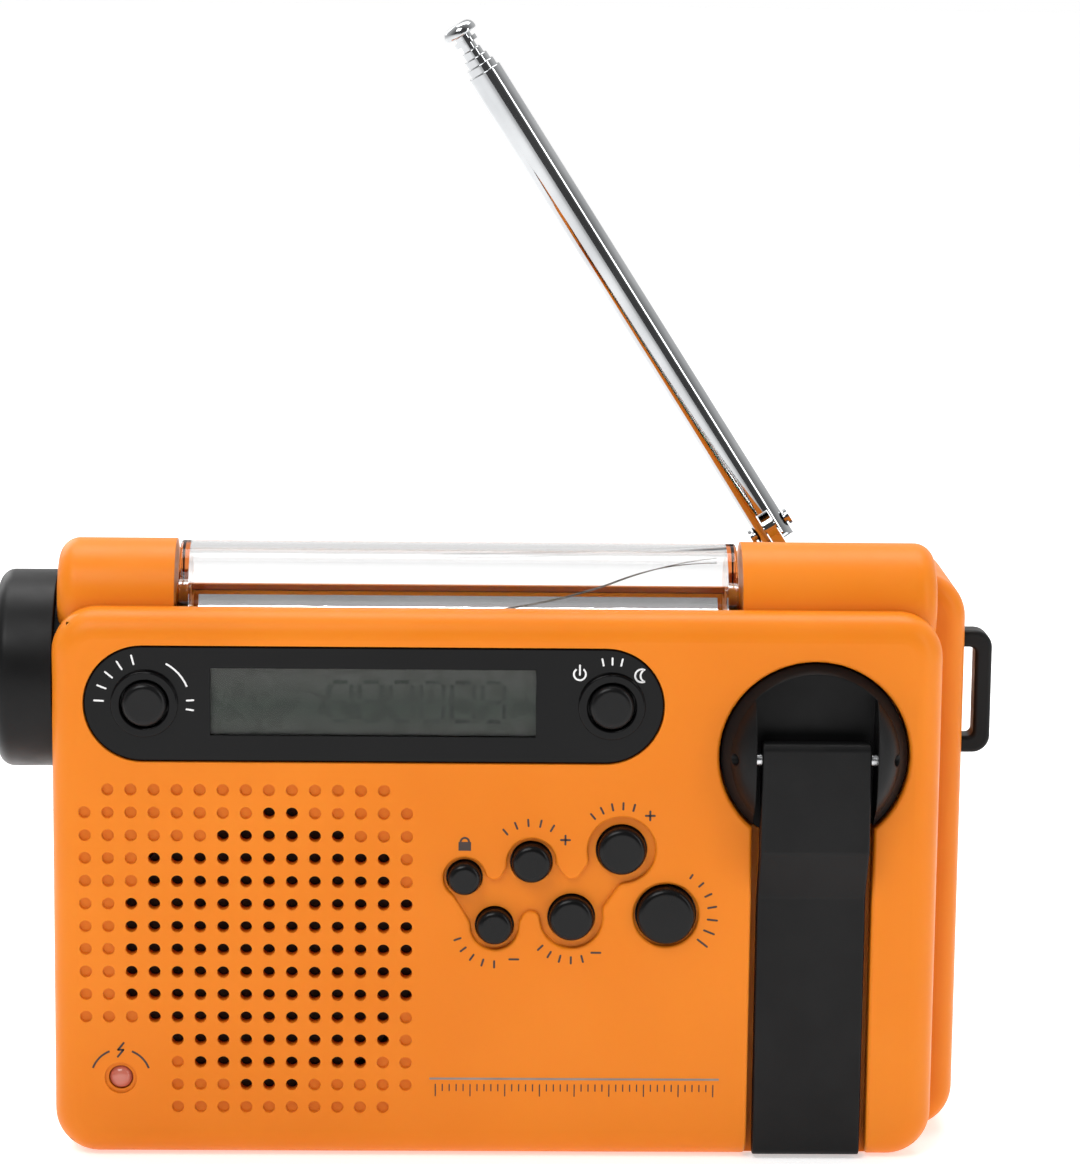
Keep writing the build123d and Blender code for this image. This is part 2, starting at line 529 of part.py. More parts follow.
with BuildPart() as tact_switches:
    for x, z, cap, well in DOMED_BUTTONS.values():
        add(block((x - 2.2, x + 2.2), (MAIN_BOARD_DEPTH - 1.8, MAIN_BOARD_DEPTH), (z - 2.2, z + 2.2)))
        add(rod(x, z, 1.2, (MAIN_BOARD_DEPTH - 2.4, MAIN_BOARD_DEPTH - 1.8)))
    for x, z in FASCIA_BUTTONS.values():
        add(block((x - 2.2, x + 2.2), (DISPLAY_BOARD_DEPTH - 1.2, DISPLAY_BOARD_DEPTH), (z - 2.2, z + 2.2)))
        add(rod(x, z, 1.2, (DISPLAY_BOARD_DEPTH - 1.6, DISPLAY_BOARD_DEPTH - 1.2)))
finish(tact_switches, "tact_switches")

with BuildPart() as charge_led:
    add(rod(-63.05, 13.9, 2.0, (-0.1, 4.0)))
    fillet(charge_led.faces().sort_by(Axis.Y)[0].edges(), 1.5)
    add(rod(-63.05, 13.9, 2.6, (WALL + 0.3, 4.0)))
finish(charge_led, "charge_led")

# ---------------------------------------------------------------- loudspeaker
CLOTH_BACK = WALL + 0.5
with BuildPart() as speaker_cloth:
    add(rod(SPEAKER_X, SPEAKER_Z, SPEAKER_RADIUS, (WALL + 0.05, CLOTH_BACK)))
finish(speaker_cloth, "speaker_cloth")

with BuildPart() as speaker_frame:
    # stamped basket: rim, open cone, and the ring that takes the magnet
    with BuildSketch(Plane.YZ.offset(SPEAKER_X)):
        with BuildLine():
            Polyline((back(CLOTH_BACK), SPEAKER_Z + SPEAKER_RADIUS),
                     (back(CLOTH_BACK + 1.2), SPEAKER_Z + SPEAKER_RADIUS),
                     (back(CLOTH_BACK + 1.8), SPEAKER_Z + 22.4),
                     (back(12.6), SPEAKER_Z + 15.0),
                     (back(12.6), SPEAKER_Z + 8.0),
                     (back(11.6), SPEAKER_Z + 8.0),
                     (back(11.6), SPEAKER_Z + 14.4),
                     (back(CLOTH_BACK + 1.0), SPEAKER_Z + 21.6),
                     (back(CLOTH_BACK), SPEAKER_Z + 21.6), close=True)
        make_face()
    revolve(axis=Axis((SPEAKER_X, 0, SPEAKER_Z), (0, 1, 0)))
finish(speaker_frame, "speaker_frame")

with BuildPart() as speaker_cone:
    with BuildSketch(Plane.YZ.offset(SPEAKER_X)):
        with BuildLine():
            Polyline((back(CLOTH_BACK + 0.9), SPEAKER_Z + 21.2),
                     (back(9.6), SPEAKER_Z + 6.2),
                     (back(9.6), SPEAKER_Z),
                     (back(7.6), SPEAKER_Z),
                     (back(8.6), SPEAKER_Z + 6.6),
                     (back(CLOTH_BACK + 0.4), SPEAKER_Z + 20.0),
                     (back(CLOTH_BACK + 0.4), SPEAKER_Z + 21.2), close=True)
        make_face()
    revolve(axis=Axis((SPEAKER_X, 0, SPEAKER_Z), (0, 1, 0)))
finish(speaker_cone, "speaker_cone")

with BuildPart() as speaker_magnet:
    add(rod(SPEAKER_X, SPEAKER_Z, 13.5, (12.6, 19.4)))
    chamfer(speaker_magnet.edges().filter_by(GeomType.CIRCLE), 0.8)
finish(speaker_magnet, "speaker_magnet")

# ---------------------------------------------------------------- torch
TORCH_FACE = -PLATE_WIDTH / 2 - 0.05
TORCH_TIP = TORCH_FACE - TORCH_LENGTH
TORCH_AXIS = Axis((0, back(TORCH_DEPTH), TORCH_Z), (1, 0, 0))
with BuildPart() as torch_bezel:
    add(bar(TORCH_DEPTH, TORCH_Z, TORCH_RADIUS, (TORCH_TIP, TORCH_FACE)))
    fillet(torch_bezel.faces().sort_by(Axis.X)[0].edges(), 2.4)
    add(bar(TORCH_DEPTH, TORCH_Z, TORCH_BORE, (TORCH_FACE, WALL - BLOCK_HALF + 1.8)))
    add(bar(TORCH_DEPTH, TORCH_Z, TORCH_COLLAR, (WALL - BLOCK_HALF + 0.1, WALL - BLOCK_HALF + 1.8)))
    add(bar(TORCH_DEPTH, TORCH_Z, 12.6, (TORCH_TIP - 1, TORCH_TIP + 2.0)), mode=Mode.SUBTRACT)
    add(bar(TORCH_DEPTH, TORCH_Z, 13.6, (TORCH_TIP + 2.0, WALL - BLOCK_HALF + 3)), mode=Mode.SUBTRACT)
finish(torch_bezel, "torch_bezel")

with BuildPart() as torch_lens:
    add(bar(TORCH_DEPTH, TORCH_Z, 13.5, (TORCH_TIP + 2.0, TORCH_TIP + 3.4)))
finish(torch_lens, "torch_lens")

with BuildPart() as torch_reflector:
    with BuildSketch(Plane.XY.offset(TORCH_Z)):
        with BuildLine():
            mouth = TORCH_TIP + 3.4
            y = back(TORCH_DEPTH)
            outer = Spline((mouth, y + 13.4), (mouth + 9, y + 10.4), (mouth + 15, y + 5.0))
            Line(outer @ 1, (mouth + 15, y + 2.8))
            inner = Spline((mouth + 15, y + 2.8), (mouth + 9, y + 9.0), (mouth, y + 12.5))
            Line(inner @ 1, outer @ 0)
        make_face()
    revolve(axis=TORCH_AXIS)
finish(torch_reflector, "torch_reflector")

with BuildPart() as torch_led_board:
    add(bar(TORCH_DEPTH, TORCH_Z, 7.0, (TORCH_TIP + 18.6, TORCH_TIP + 20.0)))
    add(bar(TORCH_DEPTH, TORCH_Z, 2.4, (TORCH_TIP + 13.5, TORCH_TIP + 18.6)))
    fillet(torch_led_board.faces().sort_by(Axis.X)[0].edges(), 2.0)
finish(torch_led_board, "torch_led_board")

# ---------------------------------------------------------------- crank
CRANK_AXIS = Axis((CRANK_X, 0, CRANK_Z), (0, 1, 0))
HUB_BACK = HUB_RECESS_DEPTH - 0.4
GEAR_FRONT, GEAR_BACK = 12.8, 16.4
with BuildPart() as crank_hub:
    with BuildSketch(Plane.YZ.offset(CRANK_X)):
        with BuildLine():
            Polyline((back(16.4), CRANK_Z),
                     (back(16.4), CRANK_Z + SHAFT_RADIUS),
                     (back(HUB_BACK), CRANK_Z + SHAFT_RADIUS),
                     (back(HUB_BACK), CRANK_Z + HUB_RADIUS),
                     (back(0.8), CRANK_Z + HUB_RADIUS),
                     (back(-1.4), CRANK_Z + POCKET_ARC))
            Spline((back(-1.4), CRANK_Z + POCKET_ARC), (back(-4.2), CRANK_Z + 12.3),
                   (back(-HUB_CROWN), CRANK_Z + 10.2))
            Polyline((back(-HUB_CROWN), CRANK_Z + 10.2), (back(-HUB_CROWN), CRANK_Z),
                     (back(16.4), CRANK_Z))
        make_face()
    revolve(axis=CRANK_AXIS)
    with BuildSketch(at_depth(POCKET_DEPTH)):
        with Locations((CRANK_X, CRANK_Z - 2)):
            Rectangle(2 * POCKET_HALF, 2 * (POCKET_ARC + 2))
        with Locations((CRANK_X, CRANK_Z)):
            Circle(POCKET_ARC, mode=Mode.INTERSECT)
        with Locations((CRANK_X, CRANK_Z - 10)):
            Rectangle(2 * POCKET_HALF, 20)
    extrude(amount=POCKET_DEPTH + HUB_CROWN + 1, mode=Mode.SUBTRACT)
    add(bar(PIN_DEPTH, CRANK_Z, PIN_RADIUS, (CRANK_X - 20, CRANK_X + 20)), mode=Mode.SUBTRACT)
finish(crank_hub, "crank_hub")

with BuildPart() as hinge_pin:
    add(bar(PIN_DEPTH, CRANK_Z, PIN_RADIUS, (CRANK_X - 12.6, CRANK_X + 12.6)))
finish(hinge_pin, "hinge_pin")

with BuildPart() as crank_bush:
    add(rod(CRANK_X, CRANK_Z, 5.5, (HUB_RECESS_DEPTH, 12.4)))
    add(rod(CRANK_X, CRANK_Z, SHAFT_RADIUS + RUN, (0, 20)), mode=Mode.SUBTRACT)
finish(crank_bush, "crank_bush")

ARM_HALF = 9.1
SCREW_TIP = 1.3             # depth of the blind end of the knob screw's hole
with BuildPart() as crank_arm:
    # side view: thin knuckle on the pin, a step back into the channel, a long flat handle
    with BuildSketch(Plane.YZ.offset(CRANK_X - ARM_HALF)):
        with BuildLine():
            Polyline((back(-4.5), CRANK_Z + 3.0), (back(-4.5), 54.5), (back(0.2), 45.8), (back(0.2), 0.5),
                     (back(3.6), 0.5), (back(3.6), 45.0), (back(-0.5), 53.4), (back(-0.5), CRANK_Z + 3.0),
                     close=True)
        profile = make_face()
        fillet(profile.vertices().group_by(Axis.Z)[-1], 1.3)
    extrude(amount=2 * ARM_HALF)
    side_faces = crank_arm.faces().filter_by(Plane.YZ)
    fillet(side_faces.edges(), 0.35)
    add(bar(PIN_DEPTH, CRANK_Z, PIN_RADIUS + RUN, (CRANK_X - 20, CRANK_X + 20)), mode=Mode.SUBTRACT)
    add(rod(CRANK_X, KNOB_Z, 1.5, (SCREW_TIP, 5)), mode=Mode.SUBTRACT)
    add(rod(CRANK_X, KNOB_Z, 2.8, (2.6, 4)), mode=Mode.SUBTRACT)
finish(crank_arm, "crank_arm")

with BuildPart() as knob_screw:
    # shoulder screw: the knob turns on it, and its thread is riveted into the arm
    add(rod(CRANK_X, KNOB_Z, 1.5, (SCREW_TIP, 12.6)))
    add(rod(CRANK_X, KNOB_Z, 2.8, (2.6, 3.9)))
    add(rod(CRANK_X, KNOB_Z, 3.0, (11.2, 12.6)))
finish(knob_screw, "knob_screw")

with BuildPart() as crank_knob:
    add(rod(CRANK_X, KNOB_Z, KNOB_RADIUS, (4.3, 13.2)))
    fillet(crank_knob.edges().filter_by(GeomType.CIRCLE), 1.0)
    add(rod(CRANK_X, KNOB_Z, 1.5 + RUN, (3, 12)), mode=Mode.SUBTRACT)
    add(rod(CRANK_X, KNOB_Z, 3.3, (10.9, 14)), mode=Mode.SUBTRACT)
finish(crank_knob, "crank_knob")

# ---------------------------------------------------------------- gear train and generator
with BuildPart() as crank_gear:
    add(gear(CRANK_X, CRANK_Z, CRANK_TEETH, -90.0, (GEAR_FRONT, GEAR_BACK)))
    add(rod(CRANK_X, CRANK_Z, SHAFT_RADIUS, (0, GEAR_BACK)), mode=Mode.SUBTRACT)
    for turn in range(5):
        angle = radians(72 * turn + 90)
        add(rod(CRANK_X + 8.6 * cos(angle), CRANK_Z + 8.6 * sin(angle), 2.5, (0, 20)),
            mode=Mode.SUBTRACT)
finish(crank_gear, "crank_gear")

IDLER_FRONT, IDLER_BACK = 17.2, 20.2
with BuildPart() as idler_gear:
    add(gear(IDLER_X, IDLER_Z, IDLER_PINION_TEETH, 90.0 + 180.0 / IDLER_PINION_TEETH, (12.4, IDLER_FRONT)))
    add(gear(IDLER_X, IDLER_Z, IDLER_TEETH, ROTOR_BEARING, (IDLER_FRONT, IDLER_BACK)))
    add(rod(IDLER_X, IDLER_Z, 1.5 + RUN, (0, 30)), mode=Mode.SUBTRACT)
finish(idler_gear, "idler_gear")

with BuildPart() as idler_axle:
    add(rod(IDLER_X, IDLER_Z, 1.5, (CHANNEL_DEPTH + 1.2, GEARBOX_BACK)))
finish(idler_axle, "idler_axle")

with BuildPart() as gearbox_plate:
    with BuildSketch(at_depth(GEARBOX_BACK)):
        with Locations((50.2, 43.2)):
            RectangleRounded(47.0, 50.0, 4.0)
        with Locations(*PLATE_POSTS):
            Circle(1.4, mode=Mode.SUBTRACT)
        with Locations((IDLER_X, IDLER_Z)):
            Circle(1.5, mode=Mode.SUBTRACT)
        with Locations((ROTOR_X, ROTOR_Z)):
            Circle(8.4, mode=Mode.SUBTRACT)
    extrude(amount=GEARBOX_BACK - GEARBOX_FRONT)
finish(gearbox_plate, "gearbox_plate")

with BuildPart() as gearbox_screws:
    for x, z in PLATE_POSTS:
        add(rod(x, z, 1.15, (GEARBOX_BACK - 8, GEARBOX_BACK)))
        add(rod(x, z, 2.4, (GEARBOX_BACK, GEARBOX_BACK + 1.4)))
finish(gearbox_screws, "gearbox_screws")

ROTOR_FRONT = GEARBOX_BACK + 1.0
with BuildPart() as generator_housing:
    # cup with the stator inside; its front ring centres it in the gearbox plate
    add(rod(ROTOR_X, ROTOR_Z, 13.0, (GEARBOX_BACK, 40.0)))
    fillet(generator_housing.faces().sort_by(Axis.Y)[-1].edges(), 1.2)
    add(rod(ROTOR_X, ROTOR_Z, 8.3, (GEARBOX_FRONT + 0.2, GEARBOX_BACK)))
    add(rod(ROTOR_X, ROTOR_Z, 2.6, (GEARBOX_FRONT, ROTOR_FRONT)), mode=Mode.SUBTRACT)
    add(rod(ROTOR_X, ROTOR_Z, 9.4, (ROTOR_FRONT, 38.0)), mode=Mode.SUBTRACT)
    add(rod(ROTOR_X, ROTOR_Z, 1.0 + RUN, (37, 41)), mode=Mode.SUBTRACT)
finish(generator_housing, "generator_housing")

with BuildPart() as generator_rotor:
    add(gear(ROTOR_X, ROTOR_Z, ROTOR_TEETH, ROTOR_BEARING - 180 + 180.0 / ROTOR_TEETH, (16.9, 20.6)))
    add(rod(ROTOR_X, ROTOR_Z, 2.0, (20.6, ROTOR_FRONT + 0.6)))
    add(rod(ROTOR_X, ROTOR_Z, 9.0, (ROTOR_FRONT + 0.6, 37.4)))
    add(rod(ROTOR_X, ROTOR_Z, 1.0, (37.4, 40.0)))
finish(generator_rotor, "generator_rotor")

# ---------------------------------------------------------------- reading lamp drum
def drum_slice(radius, low, high, xs):
    """A length of the drum: a cylinder on the ridge's axis kept between two heights from the axis."""
    with BuildPart() as solid:
        with BuildSketch(Plane.YZ.offset(xs[0])):
            with Locations((back(PARTING), HUMP_Z)):
                Circle(radius)
            with Locations((back(PARTING), HUMP_Z + (low + high) / 2)):
                Rectangle(3 * radius, high - low, mode=Mode.INTERSECT)
        extrude(amount=xs[1] - xs[0])
    return solid.part


DRUM_FLAT = -7.3            # flat on the underside of the drum, which carries the solar panel
PANEL_THICKNESS = 0.9
PANEL_XS = (DRUM_LEFT + 3, DRUM_RIGHT - 3)
with BuildPart() as lamp_carrier:
    add(drum_slice(DRUM_RADIUS, DRUM_FLAT, DRUM_SEAM, (DRUM_LEFT, DRUM_RIGHT)))
    add(drum_slice(DRUM_RADIUS - 1.2, -4.9, 0, (DRUM_LEFT + 1.6, DRUM_RIGHT - 1.6)), mode=Mode.SUBTRACT)
    add(block(PANEL_XS, (PARTING - 5.0, PARTING + 5.0),
              (HUMP_Z + DRUM_FLAT - 1, HUMP_Z + DRUM_FLAT + PANEL_THICKNESS)), mode=Mode.SUBTRACT)
    for xs in ((LAMP_LEFT - 2.0, DRUM_LEFT + 1.6), (DRUM_RIGHT - 1.6, LAMP_RIGHT + 2.0)):
        add(bar(PARTING, HUMP_Z, PIVOT_RADIUS, xs))
finish(lamp_carrier, "lamp_carrier")

with BuildPart() as lamp_lens:
    add(drum_slice(DRUM_RADIUS, DRUM_SEAM, DRUM_RADIUS, (DRUM_LEFT, DRUM_RIGHT)))
    fillet(lamp_lens.edges().filter_by(GeomType.CIRCLE), 0.5)
    add(drum_slice(DRUM_RADIUS - 1.2, DRUM_SEAM - 1, DRUM_RADIUS, (DRUM_LEFT + 1.6, DRUM_RIGHT - 1.6)),
        mode=Mode.SUBTRACT)
    for xs in ((DRUM_LEFT - 1, DRUM_LEFT + 1.6), (DRUM_RIGHT - 1.6, DRUM_RIGHT + 1)):
        add(bar(PARTING, HUMP_Z, PIVOT_RADIUS, xs), mode=Mode.SUBTRACT)
finish(lamp_lens, "lamp_lens")

with BuildPart() as lamp_reflector:
    # bright trough with a flat floor for the board
    with BuildSketch(Plane.YZ.offset(DRUM_LEFT + 2.4)):
        with BuildLine():
            middle, rim_z, floor_z = back(PARTING), HUMP_Z - 1.2, HUMP_Z - 4.6
            for side in (-1, 1):
                rim_outside = (middle + side * 8.1, rim_z)
                rim_inside = (middle + side * 7.6, rim_z)
                Line(rim_inside, rim_outside)
                Spline(rim_outside, (middle + side * 6.0, floor_z + 0.9), (middle + side * 4.0, floor_z))
                Spline(rim_inside, (middle + side * 5.6, floor_z + 1.4), (middle + side * 4.0, floor_z + 0.5))
            for z in (floor_z, floor_z + 0.5):
                Line((middle - 4.0, z), (middle + 4.0, z))
        make_face()
    extrude(amount=DRUM_RIGHT - DRUM_LEFT - 4.8)
finish(lamp_reflector, "lamp_reflector")

with BuildPart() as lamp_led_board:
    board_z = HUMP_Z - 4.1
    add(block((DRUM_LEFT + 6, DRUM_RIGHT - 6), (PARTING - 3.4, PARTING + 3.4), (board_z, board_z + 0.8)))
    for lamp in range(8):
        x = (DRUM_LEFT + DRUM_RIGHT) / 2 + (lamp - 3.5) * 10.4
        add(block((x - 1.8, x + 1.8), (PARTING - 1.5, PARTING + 1.5), (board_z + 0.8, board_z + 1.6)))
finish(lamp_led_board, "lamp_led_board")

with BuildPart() as solar_panel:
    add(block((PANEL_XS[0] + 0.2, PANEL_XS[1] - 0.2), (PARTING - 4.8, PARTING + 4.8),
              (HUMP_Z + DRUM_FLAT + 0.05, HUMP_Z + DRUM_FLAT + PANEL_THICKNESS)))
finish(solar_panel, "solar_panel")

# ---------------------------------------------------------------- telescopic aerial
LEAN = radians(AERIAL_LEAN)
AERIAL = Plane(origin=(AERIAL_X, back(AERIAL_DEPTH), AERIAL_Z), x_dir=(cos(LEAN), 0, sin(LEAN)),
               z_dir=(-sin(LEAN), 0, cos(LEAN)))
RIVET_PLANE = Plane(origin=AERIAL.origin, x_dir=(0, 1, 0), z_dir=AERIAL.x_dir)
AERIAL_LINE = Axis(AERIAL.origin, AERIAL.z_dir)
BLADE_HALF = 0.95
PRONG_SLOT_HALF = 1.15
PRONG_END = 3.0


def aerial_length(radius, low, high):
    """A cylinder along the aerial, between two distances from its tilt rivet."""
    with BuildPart() as solid:
        with BuildSketch(AERIAL.offset(low)):
            Circle(radius)
        extrude(amount=high - low)
    return solid.part


def across_aerial(radius, half_length):
    """A cylinder along the tilt rivet."""
    with BuildPart() as solid:
        with BuildSketch(RIVET_PLANE.offset(-half_length)):
            Circle(radius)
        extrude(amount=2 * half_length)
    return solid.part


with BuildPart() as antenna_base:
    add(rod(SWIVEL_X, SWIVEL_Z, 4.2, (REBATE_DEPTH + GAP, 47.2)))
    fillet(antenna_base.faces().sort_by(Axis.Y)[-1].edges(), 0.8)
    add(rod(SWIVEL_X, SWIVEL_Z, 2.0, (REBATE_DEPTH - WALL - 0.8, REBATE_DEPTH + GAP)))
    add(rod(SWIVEL_X, SWIVEL_Z, 2.8, (REBATE_DEPTH - WALL - 1.9, REBATE_DEPTH - WALL - GAP)))
    # flat tongue that the fork of the aerial tilts on
    with BuildSketch(RIVET_PLANE.offset(-BLADE_HALF)):
        Circle(2.8)
        with Locations(RIVET_PLANE.to_local_coords(Vector(SWIVEL_X, back(AERIAL_DEPTH), SWIVEL_Z)) * 0.35):
            Rectangle(5.0, 2 * 0.35 * AERIAL_SWIVEL)
    extrude(amount=2 * BLADE_HALF)
    add(across_aerial(0.9, 5), mode=Mode.SUBTRACT)
finish(antenna_base, "antenna_base")

with BuildPart() as antenna_rivet:
    add(across_aerial(0.9, 3.4))
    for side in (-1, 1):
        with BuildSketch(RIVET_PLANE.offset(side * 3.3)):
            Circle(1.5)
        extrude(amount=0.6 * side)
finish(antenna_rivet, "antenna_rivet")

# heel of the fork, rounded about the rivet so that it clears the shelf while the aerial tilts
with BuildPart() as antenna_heel:
    add(across_aerial(PRONG_END, 5))
    add(aerial_length(TUBE_DIAMETERS[0] / 2, -PRONG_END - 1, 1), mode=Mode.INTERSECT)

with BuildPart() as antenna_foot:
    add(aerial_length(TUBE_DIAMETERS[0] / 2, 0, TUBE_BOTTOM))
    add(antenna_heel.part)
    add(aerial_length(TUBE_DIAMETERS[0] / 2 - TUBE_WALL, TUBE_BOTTOM, TUBE_BOTTOM + 3))
    with BuildSketch(RIVET_PLANE.offset(-PRONG_SLOT_HALF)):
        Rectangle(8, 2 * (PRONG_END + 0.4))
    extrude(amount=2 * PRONG_SLOT_HALF, mode=Mode.SUBTRACT)
    add(across_aerial(0.9 + RUN, 5), mode=Mode.SUBTRACT)
finish(antenna_foot, "antenna_foot")

for number, diameter in enumerate(TUBE_DIAMETERS[:-1], start=1):
    low = TUBE_BOTTOM if number == 1 else TUBE_BOTTOM + 3.5 + number
    high = TUBE_TOP + TUBE_STEP * (number - 1)
    with BuildPart() as tube:
        add(aerial_length(diameter / 2, low, high))
        fillet(tube.faces().sort_by(AERIAL_LINE)[-1].edges(), 0.25)
        add(aerial_length(diameter / 2 - TUBE_WALL, low - 1, high + 1), mode=Mode.SUBTRACT)
    finish(tube, f"antenna_tube_{number}")

TIP_BASE = TUBE_TOP + TUBE_STEP * 3
with BuildPart() as antenna_tip:
    # innermost rod with its flange, neck and mushroom knob
    add(aerial_length(2.95, TIP_BASE + 2.8, TIP_BASE + 4.9))
    fillet(antenna_tip.faces().sort_by(AERIAL_LINE)[-1].edges(), 1.5)
    fillet(antenna_tip.faces().sort_by(AERIAL_LINE)[0].edges(), 0.45)
    add(aerial_length(TUBE_DIAMETERS[-1] / 2, TUBE_BOTTOM + 9, TIP_BASE + 1.2))
    add(aerial_length(2.1, TIP_BASE + 1.2, TIP_BASE + 2.0))
    add(aerial_length(1.5, TIP_BASE + 2.0, TIP_BASE + 2.8))
finish(antenna_tip, "antenna_tip")

# ---------------------------------------------------------------- power and sockets
with BuildPart() as battery_cell:
    add(bar(CELL_DEPTH, CELL_Z, CELL_RADIUS, (CELL_X - CELL_LENGTH / 2 + 0.6, CELL_X + CELL_LENGTH / 2)))
    fillet(battery_cell.edges().filter_by(GeomType.CIRCLE), 0.8)
    add(bar(CELL_DEPTH, CELL_Z, 3.0, (CELL_X - CELL_LENGTH / 2 - 0.9, CELL_X - CELL_LENGTH / 2 + 0.8)))
finish(battery_cell, "battery_cell")

with BuildPart() as battery_contacts:
    for x in (CELL_X - CELL_LENGTH / 2 - 1.7, CELL_X + CELL_LENGTH / 2 + 1.3):
        add(block((x, x + 0.4), (32.0, 44.0), (13.0, 25.0)))
    add(bar(CELL_DEPTH, CELL_Z, 3.0, (CELL_X + CELL_LENGTH / 2 + 0.3, CELL_X + CELL_LENGTH / 2 + 1.3)))
finish(battery_contacts, "battery_contacts")

DOOR_AXIS_Z = DOOR_BOTTOM + GAP + DOOR_THICKNESS / 2
with BuildPart() as battery_door:
    add(block((DOOR_LEFT + GAP, DOOR_RIGHT - GAP), (CASE_DEPTH - DOOR_THICKNESS, CASE_DEPTH),
              (DOOR_AXIS_Z, DOOR_TOP - GAP)))
    add(bar(DOOR_AXIS_DEPTH, DOOR_AXIS_Z, DOOR_THICKNESS / 2, (DOOR_LEFT + GAP, DOOR_RIGHT - GAP)))
    add(bar(DOOR_AXIS_DEPTH, DOOR_AXIS_Z, 0.6, (DOOR_LEFT - 1.3, DOOR_RIGHT + 1.3)))
    # grip ribs
    for rib in range(5):
        z = DOOR_TOP - 4.5 - 1.6 * rib
        add(block((-23.0, -7.0), (CASE_DEPTH - 0.01, CASE_DEPTH + 0.5), (z - 0.4, z + 0.4)))
finish(battery_door, "battery_door")

with BuildPart() as port_cover:
    cover_xs = (BULGE_RIGHT - COVER_THICKNESS, BULGE_RIGHT)
    cover_axis_depth = COVER_BACK - 0.9
    add(block(cover_xs, (COVER_FRONT + GAP, cover_axis_depth), (COVER_BOTTOM + GAP, COVER_TOP - GAP)))
    with BuildSketch(Plane.XY.offset(COVER_BOTTOM + GAP)):
        with Locations((BULGE_RIGHT - COVER_THICKNESS / 2, back(cover_axis_depth))):
            Circle(COVER_THICKNESS / 2)
    extrude(amount=COVER_TOP - COVER_BOTTOM - 2 * GAP)
finish(port_cover, "port_cover")

SOCKET_FACE = BULGE_RIGHT - COVER_THICKNESS - GAP - WALL
with BuildPart() as side_sockets:
    for (depths, zs), tongue in ((USB_OPENING, 1.0), (MICRO_OPENING, 0.6)):
        outer = block((SOCKET_FACE - 12, SOCKET_FACE + 1.2), depths, zs)
        add(outer)
        add(block((SOCKET_FACE - 11, SOCKET_FACE + 2), (depths[0] + 0.3, depths[1] - 0.3),
                  (zs[0] + 0.3, zs[1] - 0.3)), mode=Mode.SUBTRACT)
        middle = (depths[0] + depths[1]) / 2, (zs[0] + zs[1]) / 2
        if zs[1] - zs[0] > depths[1] - depths[0]:
            add(block((SOCKET_FACE - 11.5, SOCKET_FACE), (middle[0] + 0.4, middle[0] + 0.4 + tongue),
                      (zs[0] + 1.2, zs[1] - 1.2)))
        else:
            add(block((SOCKET_FACE - 11.5, SOCKET_FACE), (depths[0] + 1.6, depths[1] - 1.6),
                      (middle[1] - tongue / 2, middle[1] + tongue / 2)))
    add(bar(JACK_DEPTH, JACK_Z, JACK_RADIUS, (SOCKET_FACE - 14, SOCKET_FACE + 1.2)))
    add(bar(JACK_DEPTH, JACK_Z, 1.75, (SOCKET_FACE - 13, SOCKET_FACE + 2)), mode=Mode.SUBTRACT)
finish(side_sockets, "side_sockets")

with BuildPart() as ferrite_aerial:
    add(bar(36.0, 78.0, 4.0, (-50.0, 12.0)))
    with BuildSketch(Plane.YZ.offset(-34.0)):
        with Locations((back(36.0), 78.0)):
            Circle(5.4)
            Circle(4.05, mode=Mode.SUBTRACT)
    extrude(amount=26.0)
finish(ferrite_aerial, "ferrite_aerial")

# ---------------------------------------------------------------- strap loop and case screws
LOOP_BOTTOM, LOOP_TOP, LOOP_OUT = 66.2, 87.6, 85.2
LOOP_BAR = 2.9
with BuildPart() as strap_loop:
    with BuildSketch(at_depth(26.5)):
        with Locations(((BULGE_RIGHT - 1.8 + LOOP_OUT) / 2, (LOOP_BOTTOM + LOOP_TOP) / 2)):
            Rectangle(LOOP_OUT - BULGE_RIGHT + 1.8, LOOP_TOP - LOOP_BOTTOM)
            with Locations((-LOOP_BAR, 0)):
                Rectangle(LOOP_OUT - BULGE_RIGHT + 1.8, LOOP_TOP - LOOP_BOTTOM - 2 * LOOP_BAR,
                          mode=Mode.SUBTRACT)
    extrude(amount=5.0)
    upright = strap_loop.edges().filter_by(Axis.Y)
    fillet(upright.group_by(Axis.X)[-1], 3.0)
    inner = strap_loop.edges().filter_by(Axis.Y).filter_by_position(
        Axis.X, LOOP_OUT - LOOP_BAR - 0.1, LOOP_OUT - LOOP_BAR + 0.1)
    fillet(inner, 1.0)
    flat_edges = strap_loop.faces().filter_by(Plane.XZ).edges()
    fillet(flat_edges.filter_by_position(Axis.X, BULGE_RIGHT + 0.5, LOOP_OUT), 0.7)
finish(strap_loop, "strap_loop")

with BuildPart() as case_screws:
    for x, z in SCREW_POINTS:
        add(rod(x, z, 1.4, (7.0, SCREW_SEAT)))
        add(rod(x, z, 2.8, (SCREW_SEAT, SCREW_SEAT + 1.8)))
        add(block((x - 1.7, x + 1.7), (SCREW_SEAT + 1.0, SCREW_SEAT + 2), (z - 0.3, z + 0.3)),
            mode=Mode.SUBTRACT)
        add(block((x - 0.3, x + 0.3), (SCREW_SEAT + 1.0, SCREW_SEAT + 2), (z - 1.7, z + 1.7)),
            mode=Mode.SUBTRACT)
finish(case_screws, "case_screws")
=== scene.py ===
import json
from math import atan2, cos, pi, radians, sin

import bmesh
import bpy
from mathutils import Matrix, Vector


